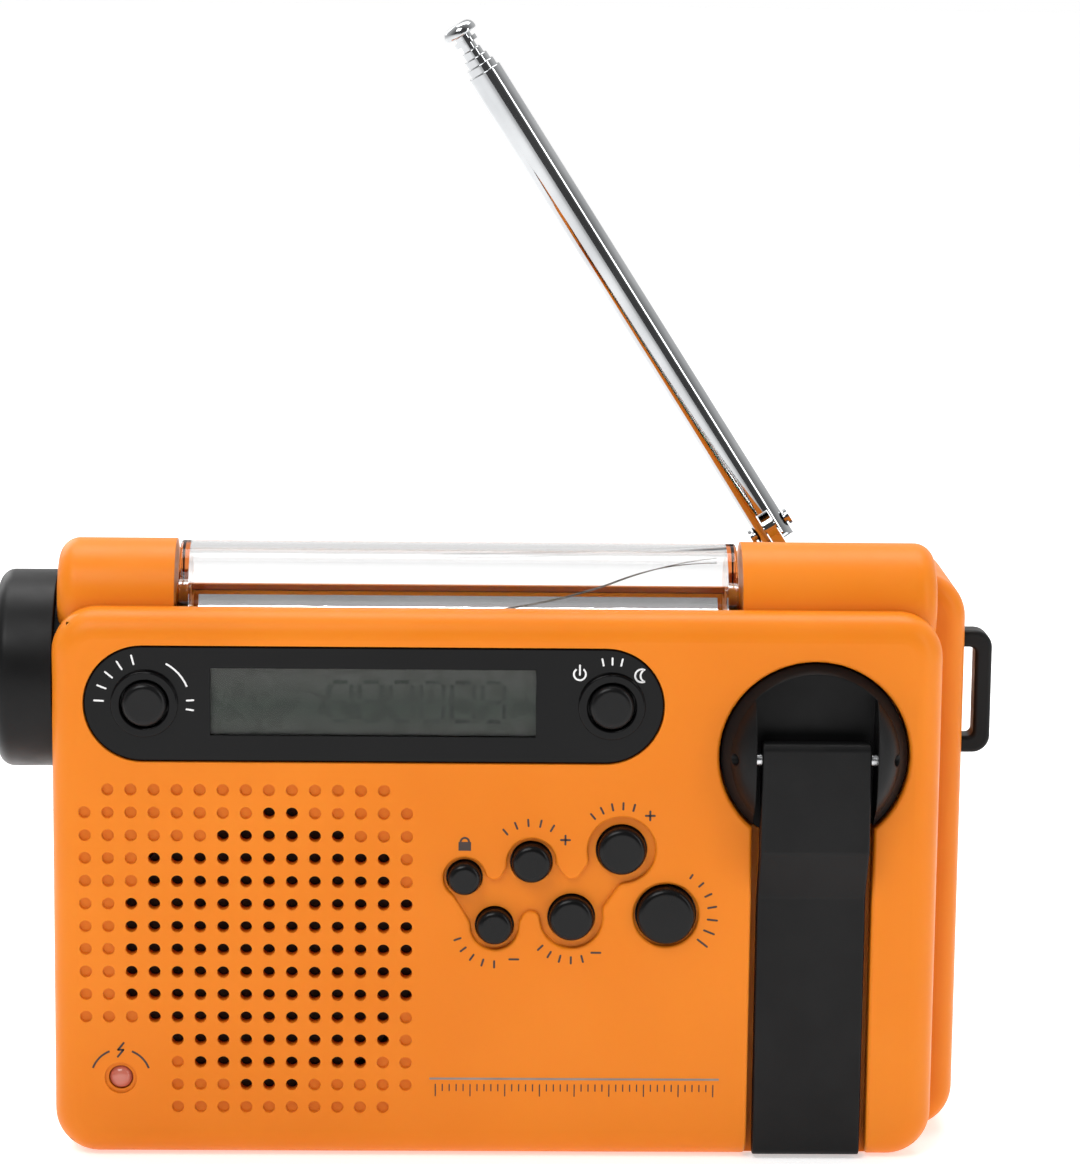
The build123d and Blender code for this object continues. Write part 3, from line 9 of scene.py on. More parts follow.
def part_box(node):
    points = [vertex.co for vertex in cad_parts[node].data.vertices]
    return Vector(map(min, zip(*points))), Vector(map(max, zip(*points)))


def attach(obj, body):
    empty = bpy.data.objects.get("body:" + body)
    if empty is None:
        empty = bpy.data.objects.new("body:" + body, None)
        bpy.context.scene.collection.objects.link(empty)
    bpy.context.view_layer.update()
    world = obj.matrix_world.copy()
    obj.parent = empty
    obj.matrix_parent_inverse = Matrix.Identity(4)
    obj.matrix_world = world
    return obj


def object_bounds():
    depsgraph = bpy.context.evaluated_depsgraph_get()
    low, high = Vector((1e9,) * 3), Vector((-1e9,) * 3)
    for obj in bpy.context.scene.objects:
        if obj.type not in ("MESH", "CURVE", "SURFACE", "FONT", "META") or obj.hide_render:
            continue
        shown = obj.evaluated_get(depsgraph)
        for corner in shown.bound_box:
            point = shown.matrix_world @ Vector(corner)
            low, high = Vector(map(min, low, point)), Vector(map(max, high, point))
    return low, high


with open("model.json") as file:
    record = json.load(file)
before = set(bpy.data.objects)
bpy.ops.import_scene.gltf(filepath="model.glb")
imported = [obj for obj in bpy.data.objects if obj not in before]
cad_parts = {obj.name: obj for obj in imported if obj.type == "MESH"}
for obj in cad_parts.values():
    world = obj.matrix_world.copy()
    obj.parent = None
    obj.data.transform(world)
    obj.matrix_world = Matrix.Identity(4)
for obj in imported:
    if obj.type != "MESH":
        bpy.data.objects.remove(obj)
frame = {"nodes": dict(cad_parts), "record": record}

cad_low, cad_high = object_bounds()
MM = 0.001


# ---------------------------------------------------------------- shader helpers
class Shader:
    """A Principled material with short ways to add the nodes that all the finishes share."""

    def __init__(self, name, **sockets):
        self.material = bpy.data.materials.new(name)
        self.material.use_nodes = True
        self.tree = self.material.node_tree
        self.bsdf = self.tree.nodes["Principled BSDF"]
        self.normal = None
        for socket, value in sockets.items():
            self.bsdf.inputs[socket.replace("_", " ")].default_value = value

    def node(self, kind, **settings):
        made = self.tree.nodes.new(kind)
        for key, value in settings.items():
            setattr(made, key, value)
        return made

    def link(self, output, target):
        self.tree.links.new(output, target)

    def place(self, stretch=(1, 1, 1)):
        """Coordinates fixed to the part, stretched along an axis where the finish has a direction."""
        coordinates = self.node("ShaderNodeTexCoord")
        mapping = self.node("ShaderNodeMapping")
        mapping.inputs["Scale"].default_value = stretch
        self.link(coordinates.outputs["Object"], mapping.inputs["Vector"])
        return mapping.outputs["Vector"]

    def noise(self, size, detail=3.0, stretch=(1, 1, 1)):
        """Soft noise whose features are about size millimetres wide."""
        texture = self.node("ShaderNodeTexNoise")
        texture.inputs["Scale"].default_value = 1 / (size * MM)
        texture.inputs["Detail"].default_value = detail
        self.link(self.place(stretch), texture.inputs["Vector"])
        return texture.outputs["Fac"]

    def ramp(self, factor, *stops):
        """A colour ramp from (place, colour) stops."""
        made = self.node("ShaderNodeValToRGB")
        elements = made.color_ramp.elements
        while len(elements) < len(stops):
            elements.new(0.5)
        for element, (place, colour) in zip(elements, stops):
            element.position = place
            element.color = (*colour, 1)
        self.link(factor, made.inputs["Fac"])
        return made.outputs["Color"]

    def spread(self, factor, low, high):
        """Maps the middle of a noise onto a range of values."""
        made = self.node("ShaderNodeMapRange")
        made.inputs["From Min"].default_value = 0.3
        made.inputs["From Max"].default_value = 0.7
        made.inputs["To Min"].default_value = low
        made.inputs["To Max"].default_value = high
        self.link(factor, made.inputs["Value"])
        return made.outputs["Result"]

    def bump(self, height, depth, strength=1.0):
        """Adds a relief of depth millimetres on top of the reliefs added before."""
        made = self.node("ShaderNodeBump")
        made.inputs["Strength"].default_value = strength
        made.inputs["Distance"].default_value = depth * MM
        self.link(height, made.inputs["Height"])
        if self.normal is not None:
            self.link(self.normal, made.inputs["Normal"])
        self.normal = made.outputs["Normal"]

    def round_edges(self, radius):
        """Softens the highlights along sharp edges by a radius in millimetres."""
        made = self.node("ShaderNodeBevel", samples=4)
        made.inputs["Radius"].default_value = radius * MM
        self.normal = made.outputs["Normal"]

    def mix(self, factor, first, second):
        made = self.node("ShaderNodeMix", data_type="RGBA")
        self.link(factor, made.inputs["Factor"])
        self.link(first, made.inputs["A"])
        self.link(second, made.inputs["B"])
        return made.outputs["Result"]

    def maths(self, operation, first, second=0.0):
        made = self.node("ShaderNodeMath", operation=operation)
        for socket, value in zip(made.inputs, (first, second)):
            if isinstance(value, (int, float)):
                socket.default_value = value
            else:
                self.link(value, socket)
        return made.outputs["Value"]

    def colour(self, output):
        self.link(output, self.bsdf.inputs["Base Color"])

    def roughness(self, output):
        self.link(output, self.bsdf.inputs["Roughness"])

    def done(self):
        if self.normal is not None:
            self.link(self.normal, self.bsdf.inputs["Normal"])
        return self.material


def finish_of(name, dark, light, rough, blotch=30, grain=0.12, relief=0.004, edge=0.0, **sockets):
    """Moulded or coated surface: blotchy colour, smudged roughness, fine grain and hairline scratches."""
    shader = Shader(name, **sockets)
    if edge:
        shader.round_edges(edge)
    shader.colour(shader.ramp(shader.noise(blotch), (0.3, dark), (0.7, light)))
    shader.roughness(shader.spread(shader.noise(7, 6), *rough))
    shader.bump(shader.noise(blotch / 3, 2), relief * 2)
    shader.bump(shader.noise(grain, 2), relief)
    shader.bump(shader.noise(0.9, 4, (1, 1, 0.06)), relief / 2, 0.35)
    return shader.done()


def metal(name, dark, light, rough, stretch=(1, 1, 1), relief=0.001):
    """Metal whose drawing or brushing marks run along the least stretched axis."""
    shader = Shader(name, Metallic=1.0)
    shader.colour(shader.ramp(shader.noise(12, 4), (0.3, dark), (0.7, light)))
    shader.roughness(shader.spread(shader.noise(1.2, 6, stretch), *rough))
    shader.bump(shader.noise(0.5, 3, stretch), relief, 0.4)
    return shader.done()


# ---------------------------------------------------------------- the finishes
def orange_plastic():
    shader = Shader("orange_plastic", Subsurface_Weight=0.18, Subsurface_Scale=0.0025, IOR=1.48,
                    Specular_IOR_Level=0.18)
    shader.bsdf.inputs["Subsurface Radius"].default_value = (1.0, 0.35, 0.08)
    shader.round_edges(0.25)
    shader.colour(shader.ramp(shader.noise(45, 2),
                              (0.3, (0.71, 0.187, 0.008)), (0.7, (0.77, 0.218, 0.013))))
    shader.roughness(shader.spread(shader.noise(9, 6), 0.34, 0.44))
    shader.bump(shader.noise(18, 2), 0.012)
    shader.bump(shader.noise(0.16, 2), 0.003)
    return shader.done()


def clear_plastic(name, index):
    shader = Shader(name, Transmission_Weight=1.0, IOR=index)
    shader.colour(shader.ramp(shader.noise(20),
                              (0.3, (0.855, 0.855, 0.855)), (0.7, (0.875, 0.875, 0.875))))
    shader.roughness(shader.spread(shader.noise(6, 5), 0.01, 0.05))
    shader.bump(shader.noise(9, 2, (0.15, 1, 1)), 0.004)
    return shader.done()


def display_glass():
    """Grey-green liquid crystal cell with a painted reflection: a little darker and greener across its
    middle, lighter towards its top and bottom edges.
    """
    shader = Shader("display_glass", IOR=1.5, Specular_IOR_Level=0.2)
    low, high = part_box("lcd_panel")
    coordinates = shader.node("ShaderNodeTexCoord")
    axes = shader.node("ShaderNodeSeparateXYZ")
    shader.link(coordinates.outputs["Object"], axes.inputs["Vector"])
    height = shader.node("ShaderNodeMapRange")
    height.inputs["From Min"].default_value = low.z
    height.inputs["From Max"].default_value = high.z
    shader.link(axes.outputs["Z"], height.inputs["Value"])
    # painted reflection: the colour follows height across the cell, darker and greener in a band across its
    # middle
    painted_reflection_place = shader.maths("ADD", height.outputs["Result"], shader.maths("MULTIPLY", shader.noise(14), 0.12))
    shader.colour(shader.ramp(painted_reflection_place, (0.12, (0.072, 0.077, 0.068)), (0.50, (0.040, 0.054, 0.043)),
                              (0.62, (0.054, 0.063, 0.054)), (0.98, (0.090, 0.095, 0.086))))
    shader.roughness(shader.spread(shader.noise(3, 5), 0.22, 0.34))
    shader.bump(shader.noise(2.5), 0.0006)
    return shader.done()


def circuit_board():
    """Solder resist with tracks that show through as slightly raised, lighter lines."""
    shader = Shader("circuit_board", Coat_Weight=0.3)
    tracks = shader.node("ShaderNodeTexBrick")
    tracks.inputs["Scale"].default_value = 120
    tracks.inputs["Mortar Size"].default_value = 0.03
    shader.link(shader.place(), tracks.inputs["Vector"])
    lines = tracks.outputs["Fac"]
    resist = shader.ramp(shader.noise(8), (0.3, (0.010, 0.085, 0.030)), (0.7, (0.016, 0.120, 0.045)))
    copper = shader.ramp(shader.noise(2), (0.3, (0.035, 0.190, 0.070)), (0.7, (0.050, 0.230, 0.090)))
    shader.colour(shader.mix(lines, resist, copper))
    shader.roughness(shader.spread(shader.noise(2, 5), 0.30, 0.48))
    shader.bump(lines, 0.03)
    return shader.done()


def solar_cell():
    """Dark blue cells split by thin silver bars, under clear epoxy."""
    pitch, bar_starts = 8.0, 0.93
    shader = Shader("solar_cell", Coat_Weight=1.0, Coat_Roughness=0.04)
    coordinates = shader.node("ShaderNodeTexCoord")
    axes = shader.node("ShaderNodeSeparateXYZ")
    shader.link(coordinates.outputs["Object"], axes.inputs["Vector"])
    stripe = shader.maths("FRACT", shader.maths("DIVIDE", axes.outputs["X"], pitch * MM))
    bar = shader.maths("GREATER_THAN", stripe, bar_starts)
    silicon = shader.ramp(shader.noise(3, 5), (0.3, (0.006, 0.010, 0.035)), (0.7, (0.014, 0.022, 0.070)))
    silver = shader.ramp(shader.noise(1), (0.3, (0.42, 0.43, 0.45)), (0.7, (0.58, 0.59, 0.60)))
    shader.colour(shader.mix(bar, silicon, silver))
    shader.roughness(shader.spread(shader.noise(4, 4), 0.22, 0.36))
    shader.bump(bar, 0.02)
    return shader.done()


def woven_cloth():
    shader = Shader("speaker_felt", Sheen_Weight=0.4)
    weave = shader.node("ShaderNodeTexVoronoi")
    weave.inputs["Scale"].default_value = 1 / (0.35 * MM)
    shader.link(shader.place(), weave.inputs["Vector"])
    shader.colour(shader.ramp(shader.noise(1.5, 5),
                              (0.3, (0.006, 0.006, 0.006)), (0.7, (0.016, 0.015, 0.015))))
    shader.roughness(shader.spread(shader.noise(2, 4), 0.85, 1.0))
    shader.bump(weave.outputs["Distance"], 0.05)
    return shader.done()


ALONG_X, ALONG_Y, ALONG_Z = (0.04, 1, 1), (1, 0.04, 1), (1, 1, 0.04)
ORANGE = orange_plastic()
CLEAR = clear_plastic("clear_plastic", 1.32)
PANE = clear_plastic("display_pane", 1.15)
SATIN_BLACK = finish_of("satin_black", (0.0040, 0.0040, 0.0042), (0.0075, 0.0075, 0.0078), (0.34, 0.50),
                        relief=0.006, edge=0.3, Specular_IOR_Level=0.16)
BUTTON_BLACK = finish_of("button_black", (0.0040, 0.0040, 0.0042), (0.0070, 0.0070, 0.0073), (0.18, 0.28),
                         grain=0.2, relief=0.004, edge=0.2, Specular_IOR_Level=0.18)
GLOSS_BLACK = finish_of("gloss_black", (0.0012, 0.0012, 0.0014), (0.0030, 0.0030, 0.0033), (0.05, 0.12),
                        relief=0.001, edge=0.15, Specular_IOR_Level=0.15)
CHROME = metal("chrome", (0.38, 0.39, 0.40), (0.48, 0.49, 0.50), (0.035, 0.10), ALONG_Z)
MIRROR = metal("mirror_coat", (0.86, 0.86, 0.87), (0.94, 0.94, 0.95), (0.03, 0.10), ALONG_X)
STEEL = metal("zinc_steel", (0.46, 0.47, 0.48), (0.62, 0.63, 0.64), (0.24, 0.42), ALONG_X)
NICKEL = metal("nickel_spring", (0.60, 0.59, 0.55), (0.72, 0.71, 0.67), (0.14, 0.30), ALONG_Z)
DARK_METAL = finish_of("dark_plating", (0.030, 0.030, 0.034), (0.060, 0.060, 0.066), (0.30, 0.50),
                       blotch=8, relief=0.01, edge=0.2, Metallic=0.7)
ACETAL = finish_of("acetal", (0.74, 0.73, 0.68), (0.84, 0.83, 0.78), (0.30, 0.42), blotch=12, edge=0.1)
PAPER = finish_of("paper_cone", (0.012, 0.012, 0.012), (0.030, 0.029, 0.028), (0.75, 0.95),
                  blotch=5, grain=0.3, relief=0.03)
CELL_WRAP = finish_of("cell_wrap", (0.020, 0.105, 0.270), (0.030, 0.140, 0.340), (0.16, 0.30),
                      relief=0.002, edge=0.2)
RUBBER = finish_of("soft_rubber", (0.010, 0.010, 0.010), (0.020, 0.020, 0.019), (0.62, 0.80),
                   blotch=14, grain=0.25, relief=0.012, edge=0.3)
LED_TINT = finish_of("led_tint", (0.62, 0.13, 0.08), (0.78, 0.24, 0.17), (0.06, 0.14), blotch=3,
                     relief=0.001, Transmission_Weight=0.35, IOR=1.5)
PHOSPHOR = finish_of("led_phosphor", (0.80, 0.62, 0.10), (0.90, 0.74, 0.18), (0.35, 0.5), blotch=1.2)
INK = finish_of("dark_ink", (0.022, 0.010, 0.008), (0.040, 0.018, 0.012), (0.40, 0.55),
                blotch=4, relief=0.002)
GREY_INK = finish_of("grey_ink", (0.20, 0.17, 0.15), (0.27, 0.23, 0.20), (0.40, 0.55),
                     blotch=4, relief=0.002)
WHITE_INK = finish_of("white_ink", (0.72, 0.72, 0.72), (0.84, 0.84, 0.84), (0.40, 0.55),
                      blotch=4, relief=0.002)
SEGMENT_INK = finish_of("segment_ink", (0.030, 0.040, 0.032), (0.038, 0.048, 0.040), (0.24, 0.34), blotch=3,
                        relief=0.001, Specular_IOR_Level=0.2)

SLOT_FINISH = {
    "shell": ORANGE, "door": ORANGE, "black_plastic": SATIN_BLACK, "fascia": GLOSS_BLACK, "clear": CLEAR,
    "lcd": display_glass(), "mirror": MIRROR, "chrome": CHROME, "steel": STEEL, "board": circuit_board(),
    "acetal": ACETAL, "dark_metal": DARK_METAL, "paper": PAPER, "cloth": woven_cloth(), "led": LED_TINT,
    "solar": solar_cell(), "cell": CELL_WRAP, "contact": NICKEL, "rubber": RUBBER,
}
for subpart in frame["record"]["subparts"]:
    node = subpart["node"]
    finish = BUTTON_BLACK if node.endswith("_button") else SLOT_FINISH[subpart["material_slot"]]
    if node == "lcd_window":
        finish = PANE
    mesh = frame["nodes"][node].data
    mesh.materials.clear()
    mesh.materials.append(finish)


# ---------------------------------------------------------------- printed marks
class Print:
    """Marks on an upright surface: strokes with round ends, a hair thicker than the surface they lie on."""

    THICKNESS = 0.03 * MM

    def __init__(self, name, y):
        self.name, self.y = name, y
        self.mesh = bmesh.new()

    def area(self, outline):
        """One filled outline, drawn as a thin plate that faces the front."""
        front = [self.mesh.verts.new((x, self.y - self.THICKNESS, z)) for x, z in outline]
        rear = [self.mesh.verts.new((x, self.y, z)) for x, z in outline]
        self.mesh.faces.new(front)
        self.mesh.faces.new(reversed(rear))
        for index in range(len(outline)):
            after = (index + 1) % len(outline)
            self.mesh.faces.new((front[after], front[index], rear[index], rear[after]))

    def line(self, start, end, width):
        """A straight stroke with round ends, in millimetres."""
        (x1, z1), (x2, z2) = start, end
        heading = atan2(z2 - z1, x2 - x1)
        caps = [(end, heading - pi / 2), (start, heading + pi / 2)]
        steps = 6
        outline = []
        for (x, z), first in caps:
            for step in range(steps + 1):
                angle = first + pi * step / steps
                outline.append(((x + width / 2 * cos(angle)) * MM, (z + width / 2 * sin(angle)) * MM))
        self.area(outline)

    def bar(self, x, z, length, height):
        half_length, half_height = length / 2, height / 2
        corners = ((-1, -1), (1, -1), (1, 1), (-1, 1))
        self.area([((x + half_length * i) * MM, (z + half_height * j) * MM) for i, j in corners])

    def arc(self, centre, radius, first, last, width):
        """A stroke along a circle between two directions in degrees, as one ribbon."""
        steps = max(4, int(abs(last - first) / 6))
        ribbon = []
        for edge, order in ((radius + width / 2, 1), (radius - width / 2, -1)):
            for step in range(steps + 1)[::order]:
                angle = radians(first + (last - first) * step / steps)
                ribbon.append(((centre[0] + edge * cos(angle)) * MM, (centre[1] + edge * sin(angle)) * MM))
        self.area(ribbon if first < last else ribbon[::-1])

    def plus(self, x, z, size, width):
        self.line((x - size / 2, z), (x + size / 2, z), width)
        self.line((x, z - size / 2), (x, z + size / 2), width)

    def minus(self, x, z, size, width):
        self.line((x - size / 2, z), (x + size / 2, z), width)

    def ticks(self, centre, radius, directions, length, width):
        """Short radial strokes, such as the divisions of a dial."""
        for degrees in directions:
            way = cos(radians(degrees)), sin(radians(degrees))
            near, far = radius - length / 2, radius + length / 2
            self.line((centre[0] + near * way[0], centre[1] + near * way[1]),
                      (centre[0] + far * way[0], centre[1] + far * way[1]), width)

    def piece(self, body, finish):
        bmesh.ops.recalc_face_normals(self.mesh, faces=self.mesh.faces)
        mesh = bpy.data.meshes.new(self.name)
        self.mesh.to_mesh(mesh)
        self.mesh.free()
        mesh.materials.append(finish)
        made = bpy.data.objects.new(self.name, mesh)
        bpy.context.scene.collection.objects.link(made)
        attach(made, body)
        return made


def middle(node):
    """Centre of a node in the plane of the front, in millimetres."""
    low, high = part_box(node)
    return (low.x + high.x) / 2 / MM, (low.z + high.z) / 2 / MM


def cap_radius(node):
    """Radius of a button's cap, without its hidden flange."""
    low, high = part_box(node)
    return (high.x - low.x) / 2 / MM - CAP_FLANGE


# strokes and signs, all in millimetres
STROKE = 0.34
LABEL_REACH = 3.6           # from the rim of a cap out to its dial ticks
TICK_LENGTH = 1.1
SIGN_SIZE = 1.5
CAP_FLANGE = 1.0            # how far a button's hidden flange stands out past its cap
plate_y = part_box("front_shell")[0].y

labels = Print("button_marks", plate_y)
# button, directions between which its dial ticks run, direction and kind of the sign at the end
BUTTON_LABELS = (
    ("volume_up_button", (60, 130), 35, "plus"),
    ("volume_down_button", (200, 270), 300, "minus"),
    ("tune_up_button", (75, 130), 52, "plus"),
    ("tune_down_button", (225, 285), 305, "minus"),
)
for button, (first, last), sign_at, kind in BUTTON_LABELS:
    centre = middle(button)
    reach = cap_radius(button) + LABEL_REACH
    steps = 5
    directions = [first + (last - first) * step / (steps - 1) for step in range(steps)]
    labels.ticks(centre, reach, directions, TICK_LENGTH, STROKE)
    sign_x = centre[0] + reach * cos(radians(sign_at))
    sign_z = centre[1] + reach * sin(radians(sign_at))
    if kind == "plus":
        labels.plus(sign_x, sign_z, SIGN_SIZE, STROKE)
    else:
        labels.minus(sign_x, sign_z, SIGN_SIZE, STROKE)
# padlock over the lock button
lock_x, lock_z = middle("lock_button")
lock_z += cap_radius("lock_button") + 2.7
LOCK_WIDTH, LOCK_HEIGHT, SHACKLE_RADIUS = 2.1, 1.5, 0.7
labels.bar(lock_x, lock_z, LOCK_WIDTH, LOCK_HEIGHT)
labels.arc((lock_x, lock_z + LOCK_HEIGHT / 2), SHACKLE_RADIUS, 0, 180, STROKE)
# rising steps beside the band button
band_x, band_z = middle("band_button")
BAND_REACH = 3.0
BAND_STEPS, BAND_FIRST, BAND_TURN = 7, 58, 16
for step in range(BAND_STEPS):
    reach = cap_radius("band_button") + BAND_REACH
    length = 0.7 + 0.22 * step
    labels.ticks((band_x, band_z), reach, [BAND_FIRST - BAND_TURN * step], length, STROKE)
# spark over the charge lamp, between two arcs
charge = middle("charge_led")
CHARGE_ARC = 5.0
labels.arc(charge, CHARGE_ARC, 20, 68, STROKE)
labels.arc(charge, CHARGE_ARC, 112, 160, STROKE)
SPARK = ((0.5, 6.1), (-0.45, 4.9), (0.45, 4.9), (-0.5, 3.7))
for (x1, z1), (x2, z2) in zip(SPARK, SPARK[1:]):
    labels.line((charge[0] + x1, charge[1] + z1), (charge[0] + x2, charge[1] + z2), STROKE)
labels.piece("case", INK)

# tuning scale where the maker's print would be: a grey rule with dial divisions under it
RULE_LEFT, RULE_RIGHT, RULE_Z, RULE_HEIGHT = -11.0, 38.0, 14.0, 0.35
rule = Print("scale_rule", plate_y)
rule.bar((RULE_LEFT + RULE_RIGHT) / 2, RULE_Z, RULE_RIGHT - RULE_LEFT, RULE_HEIGHT)
rule.piece("case", GREY_INK)
scale = Print("scale_divisions", plate_y)
DIVISIONS, SCALE_INSET, LONG_DIVISION, SHORT_DIVISION, DIVISION_STROKE = 40, 1.0, 2.0, 1.1, 0.2
for division in range(DIVISIONS + 1):
    x = RULE_LEFT + SCALE_INSET + (RULE_RIGHT - RULE_LEFT - 2 * SCALE_INSET) * division / DIVISIONS
    length = LONG_DIVISION if division % 5 == 0 else SHORT_DIVISION
    scale.line((x, RULE_Z - SCALE_INSET), (x, RULE_Z - SCALE_INSET - length), DIVISION_STROKE)
scale.piece("case", INK)

# white signs round the two ringed buttons: rays of light, a power mark and a moon
RING_HEIGHT = 0.1           # how far the fascia stands out past its window
MARK_REACH, MARK_STROKE = 7.6, 0.3
fascia_marks = Print("fascia_marks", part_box("lcd_window")[0].y - RING_HEIGHT * MM)
torch = middle("torch_button")
RAY_LENGTH = 1.5
fascia_marks.ticks(torch, MARK_REACH, range(105, 195, 18), RAY_LENGTH, MARK_STROKE)
fascia_marks.arc(torch, MARK_REACH, 22, 62, MARK_STROKE)
fascia_marks.ticks(torch, MARK_REACH, (-8, 4), TICK_LENGTH, MARK_STROKE)
power_x, power_z = middle("power_button")
POWER_X, POWER_Z, POWER_RADIUS = -5.4, 5.4, 1.0
fascia_marks.arc((power_x + POWER_X, power_z + POWER_Z), POWER_RADIUS, 125, 415, MARK_STROKE)
fascia_marks.line((power_x + POWER_X, power_z + 5.3), (power_x + POWER_X, power_z + 6.9), MARK_STROKE)
MOON_BACK, MOON_FRONT, MOON_Z, MOON_RADIUS = 4.9, 5.8, 5.2, 1.1
fascia_marks.arc((power_x + MOON_BACK, power_z + MOON_Z), MOON_RADIUS, 60, 300, MARK_STROKE)
fascia_marks.arc((power_x + MOON_FRONT, power_z + MOON_Z), MOON_RADIUS, 120, 240, MARK_STROKE)
fascia_marks.ticks((power_x, power_z), MARK_REACH, range(78, 110, 12), TICK_LENGTH, MARK_STROKE)
fascia_marks.piece("case", WHITE_INK)


# ---------------------------------------------------------------- display segments
segments = Print("display_segments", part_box("lcd_panel")[0].y)
display_x, display_z = middle("lcd_window")
DIGITS, DIGIT_PITCH, FIRST_DIGIT = 6, 5.1, -5.5
DIGIT_WIDTH, DIGIT_HEIGHT, DIGIT_STROKE = 3.6, 6.6, 0.7
ACROSS, UPRIGHT = DIGIT_WIDTH - 1.1, DIGIT_HEIGHT / 2 - 0.8
for digit in range(DIGITS):
    centre_x = display_x + FIRST_DIGIT + digit * DIGIT_PITCH
    for level in (-1, 0, 1):
        segments.bar(centre_x, display_z + level * DIGIT_HEIGHT / 2, ACROSS, DIGIT_STROKE)
    for side in (-1, 1):
        for level in (-1, 1):
            segments.bar(centre_x + side * DIGIT_WIDTH / 2, display_z + level * DIGIT_HEIGHT / 4,
                         DIGIT_STROKE, UPRIGHT)
segments.piece("case", SEGMENT_INK)


# ---------------------------------------------------------------- lamp wiring and lamps
def wire(name, points, radius, body, finish):
    """A thin round wire through the points, in millimetres."""
    curve = bpy.data.curves.new(name, "CURVE")
    curve.dimensions = "3D"
    curve.bevel_depth = radius * MM
    curve.bevel_resolution = 3
    spline = curve.splines.new("NURBS")
    spline.points.add(len(points) - 1)
    for target, (x, y, z) in zip(spline.points, points):
        target.co = (x * MM, y * MM, z * MM, 1)
    spline.order_u = 3
    spline.use_endpoint_u = True
    curve.materials.append(finish)
    made = bpy.data.objects.new(name, curve)
    bpy.context.scene.collection.objects.link(made)
    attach(made, body)
    return made


board_low, board_high = (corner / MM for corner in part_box("lamp_led_board"))
lens_low, lens_high = (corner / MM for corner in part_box("lamp_lens"))
board_y = (board_low.y + board_high.y) / 2
WIRE_RADIUS = 0.09
for number, offset in enumerate((-0.5, 0.5)):
    wire(f"lamp_wire_{number}",
         [(board_high.x - 34, board_y + offset, board_high.z + 0.3),
          (board_high.x - 22, board_y + offset, board_high.z + 2.2),
          (board_high.x - 6, board_y + 1.5 + offset, lens_high.z - 3.6),
          (lens_high.x - 3.0, board_y + 2.0 + offset, lens_high.z - 2.6 - number)],
         WIRE_RADIUS, "lamp_drum", GREY_INK)


def lamp_domes():
    """A low silicone dome over each light source of the reading lamp."""
    lamps, pitch, radius, flatness = 8, 10.4, 1.15, 0.35
    mesh = bmesh.new()
    for lamp in range(lamps):
        x = (lens_low.x + lens_high.x) / 2 + (lamp - (lamps - 1) / 2) * pitch
        dome = bmesh.ops.create_uvsphere(mesh, u_segments=20, v_segments=10,
                                         radius=radius * MM)["verts"]
        bmesh.ops.scale(mesh, vec=(1, 1, flatness), verts=dome)
        bmesh.ops.translate(mesh, vec=(x * MM, board_y * MM, board_high.z * MM), verts=dome)
    for face in mesh.faces:
        face.smooth = True
    data = bpy.data.meshes.new("lamp_domes")
    mesh.to_mesh(data)
    mesh.free()
    data.materials.append(PHOSPHOR)
    made = bpy.data.objects.new("lamp_domes", data)
    bpy.context.scene.collection.objects.link(made)
    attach(made, "lamp_drum")


lamp_domes()


# ---------------------------------------------------------------- studio
def studio_floor():
    """A wide pale disc just under the radio."""
    radius, drop = 6.0, 0.2 * MM
    mesh = bmesh.new()
    bmesh.ops.create_circle(mesh, cap_ends=True, segments=96, radius=radius)
    bmesh.ops.translate(mesh, vec=(0, 0, cad_low.z - drop), verts=mesh.verts)
    data = bpy.data.meshes.new("studio_floor")
    mesh.to_mesh(data)
    mesh.free()
    data.materials.append(finish_of("floor_paper", (0.86, 0.86, 0.86), (0.90, 0.90, 0.90), (0.6, 0.8),
                                    blotch=200, grain=2.0, relief=0.01, Emission_Color=(1, 1, 1, 1),
                                    Emission_Strength=0.5))
    made = bpy.data.objects.new("studio_floor", data)
    bpy.context.scene.collection.objects.link(made)


def area_light(name, place, target, size, power):
    light = bpy.data.lights.new(name, "AREA")
    light.shape = "RECTANGLE"
    light.size, light.size_y = size
    light.energy = power
    made = bpy.data.objects.new(name, light)
    made.location = place
    made.rotation_euler = (Vector(target) - Vector(place)).to_track_quat("-Z", "Y").to_euler()
    bpy.context.scene.collection.objects.link(made)


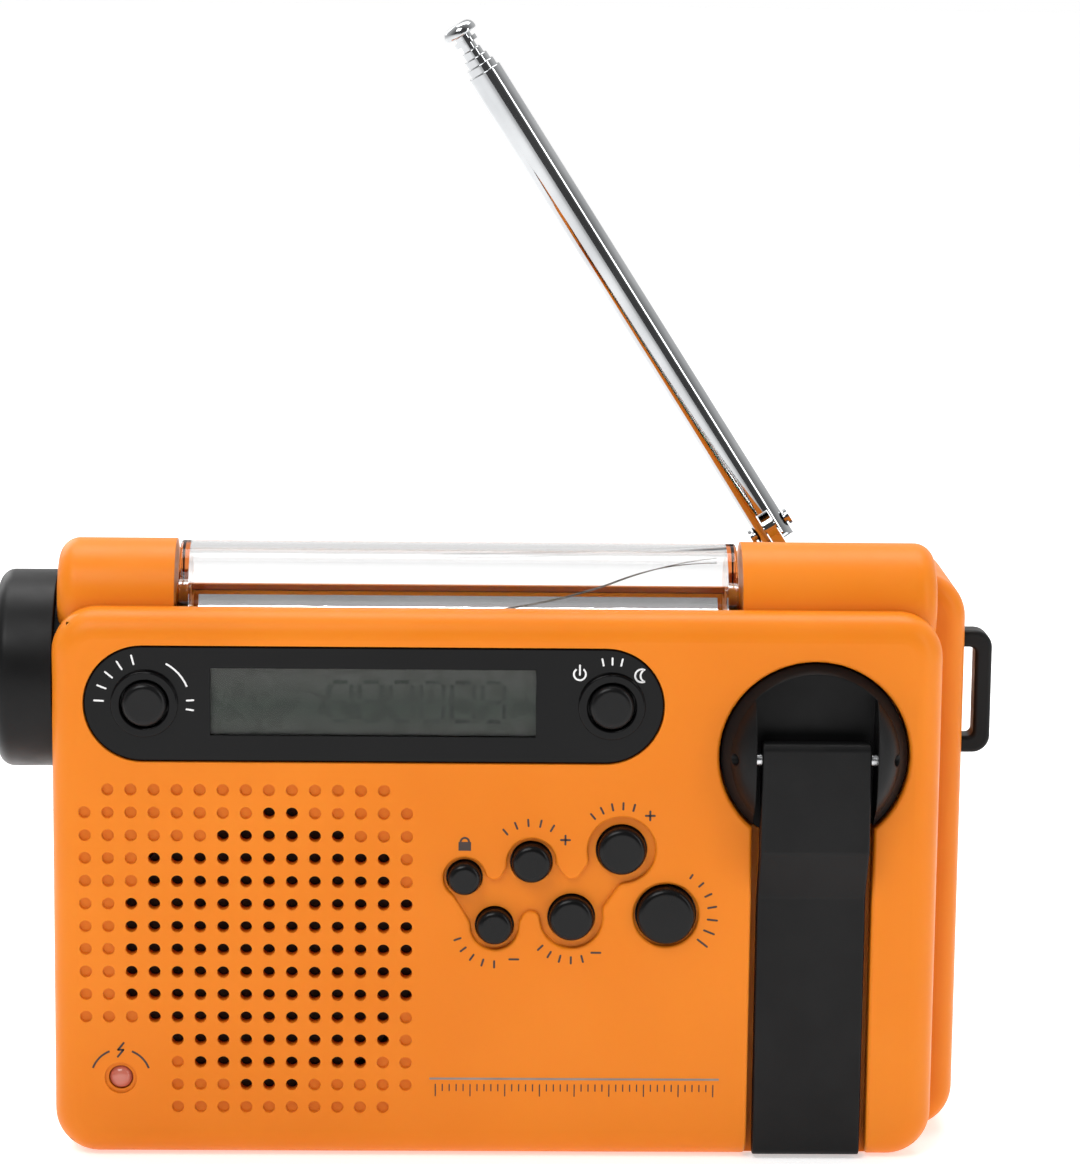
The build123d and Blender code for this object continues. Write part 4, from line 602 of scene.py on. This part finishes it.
def studio_light():
    """A white backdrop, surroundings that darken towards the front, and four soft boxes."""
    world = bpy.data.worlds.new("studio")
    bpy.context.scene.world = world
    world.use_nodes = True
    tree = world.node_tree
    background = tree.nodes["Background"]
    coordinates = tree.nodes.new("ShaderNodeTexCoord")
    axes = tree.nodes.new("ShaderNodeSeparateXYZ")
    tree.links.new(coordinates.outputs["Generated"], axes.inputs["Vector"])
    towards_back = tree.nodes.new("ShaderNodeMapRange")
    towards_back.inputs["From Min"].default_value = -0.75
    towards_back.inputs["From Max"].default_value = 0.45
    towards_back.inputs["To Min"].default_value = 0.10
    towards_back.inputs["To Max"].default_value = 0.85
    tree.links.new(axes.outputs["Y"], towards_back.inputs["Value"])
    ray = tree.nodes.new("ShaderNodeLightPath")
    seen = tree.nodes.new("ShaderNodeMix")
    seen.inputs["B"].default_value = 1.0
    tree.links.new(ray.outputs["Is Camera Ray"], seen.inputs["Factor"])
    tree.links.new(towards_back.outputs["Result"], seen.inputs["A"])
    background.inputs["Color"].default_value = (1, 1, 1, 1)
    tree.links.new(seen.outputs["Result"], background.inputs["Strength"])
    centre = (0, 0, 0.06)
    area_light("key_box", (-0.30, -0.55, 0.75), centre, (0.5, 0.4), 4.0)
    area_light("fill_box", (0.75, -0.45, 0.35), centre, (0.12, 0.7), 1.6)
    area_light("top_box", (0.0, 0.25, 0.9), centre, (0.9, 0.4), 6.5)
    area_light("rear_box", (-0.5, 0.8, 0.5), centre, (0.5, 0.5), 2.0)


def studio_camera():
    """A long lens a little above the radio, turned slightly to the right."""
    pitch, yaw, roll = radians(10.05), radians(1.41), radians(0.66)
    target = Vector((6.73, -25.0, 99.40)) * MM
    distance = 661.8 * MM
    lens, sensor, nearest = 123.7, 36, 0.01
    forward = Vector((sin(yaw) * cos(pitch), cos(yaw) * cos(pitch), -sin(pitch)))
    right = Vector((cos(yaw), -sin(yaw), 0))
    up = right.cross(forward)
    tilted_right = cos(roll) * right + sin(roll) * up
    tilted_up = cos(roll) * up - sin(roll) * right
    data = bpy.data.cameras.new("camera")
    data.lens = lens
    data.sensor_width = sensor
    data.clip_start = nearest
    made = bpy.data.objects.new("camera", data)
    turn = Matrix((tilted_right, tilted_up, -forward)).transposed().to_4x4()
    made.matrix_world = Matrix.Translation(target - distance * forward) @ turn
    bpy.context.scene.collection.objects.link(made)
    bpy.context.scene.camera = made


studio_floor()
studio_light()
studio_camera()
bpy.context.scene.view_settings.view_transform = "Standard"
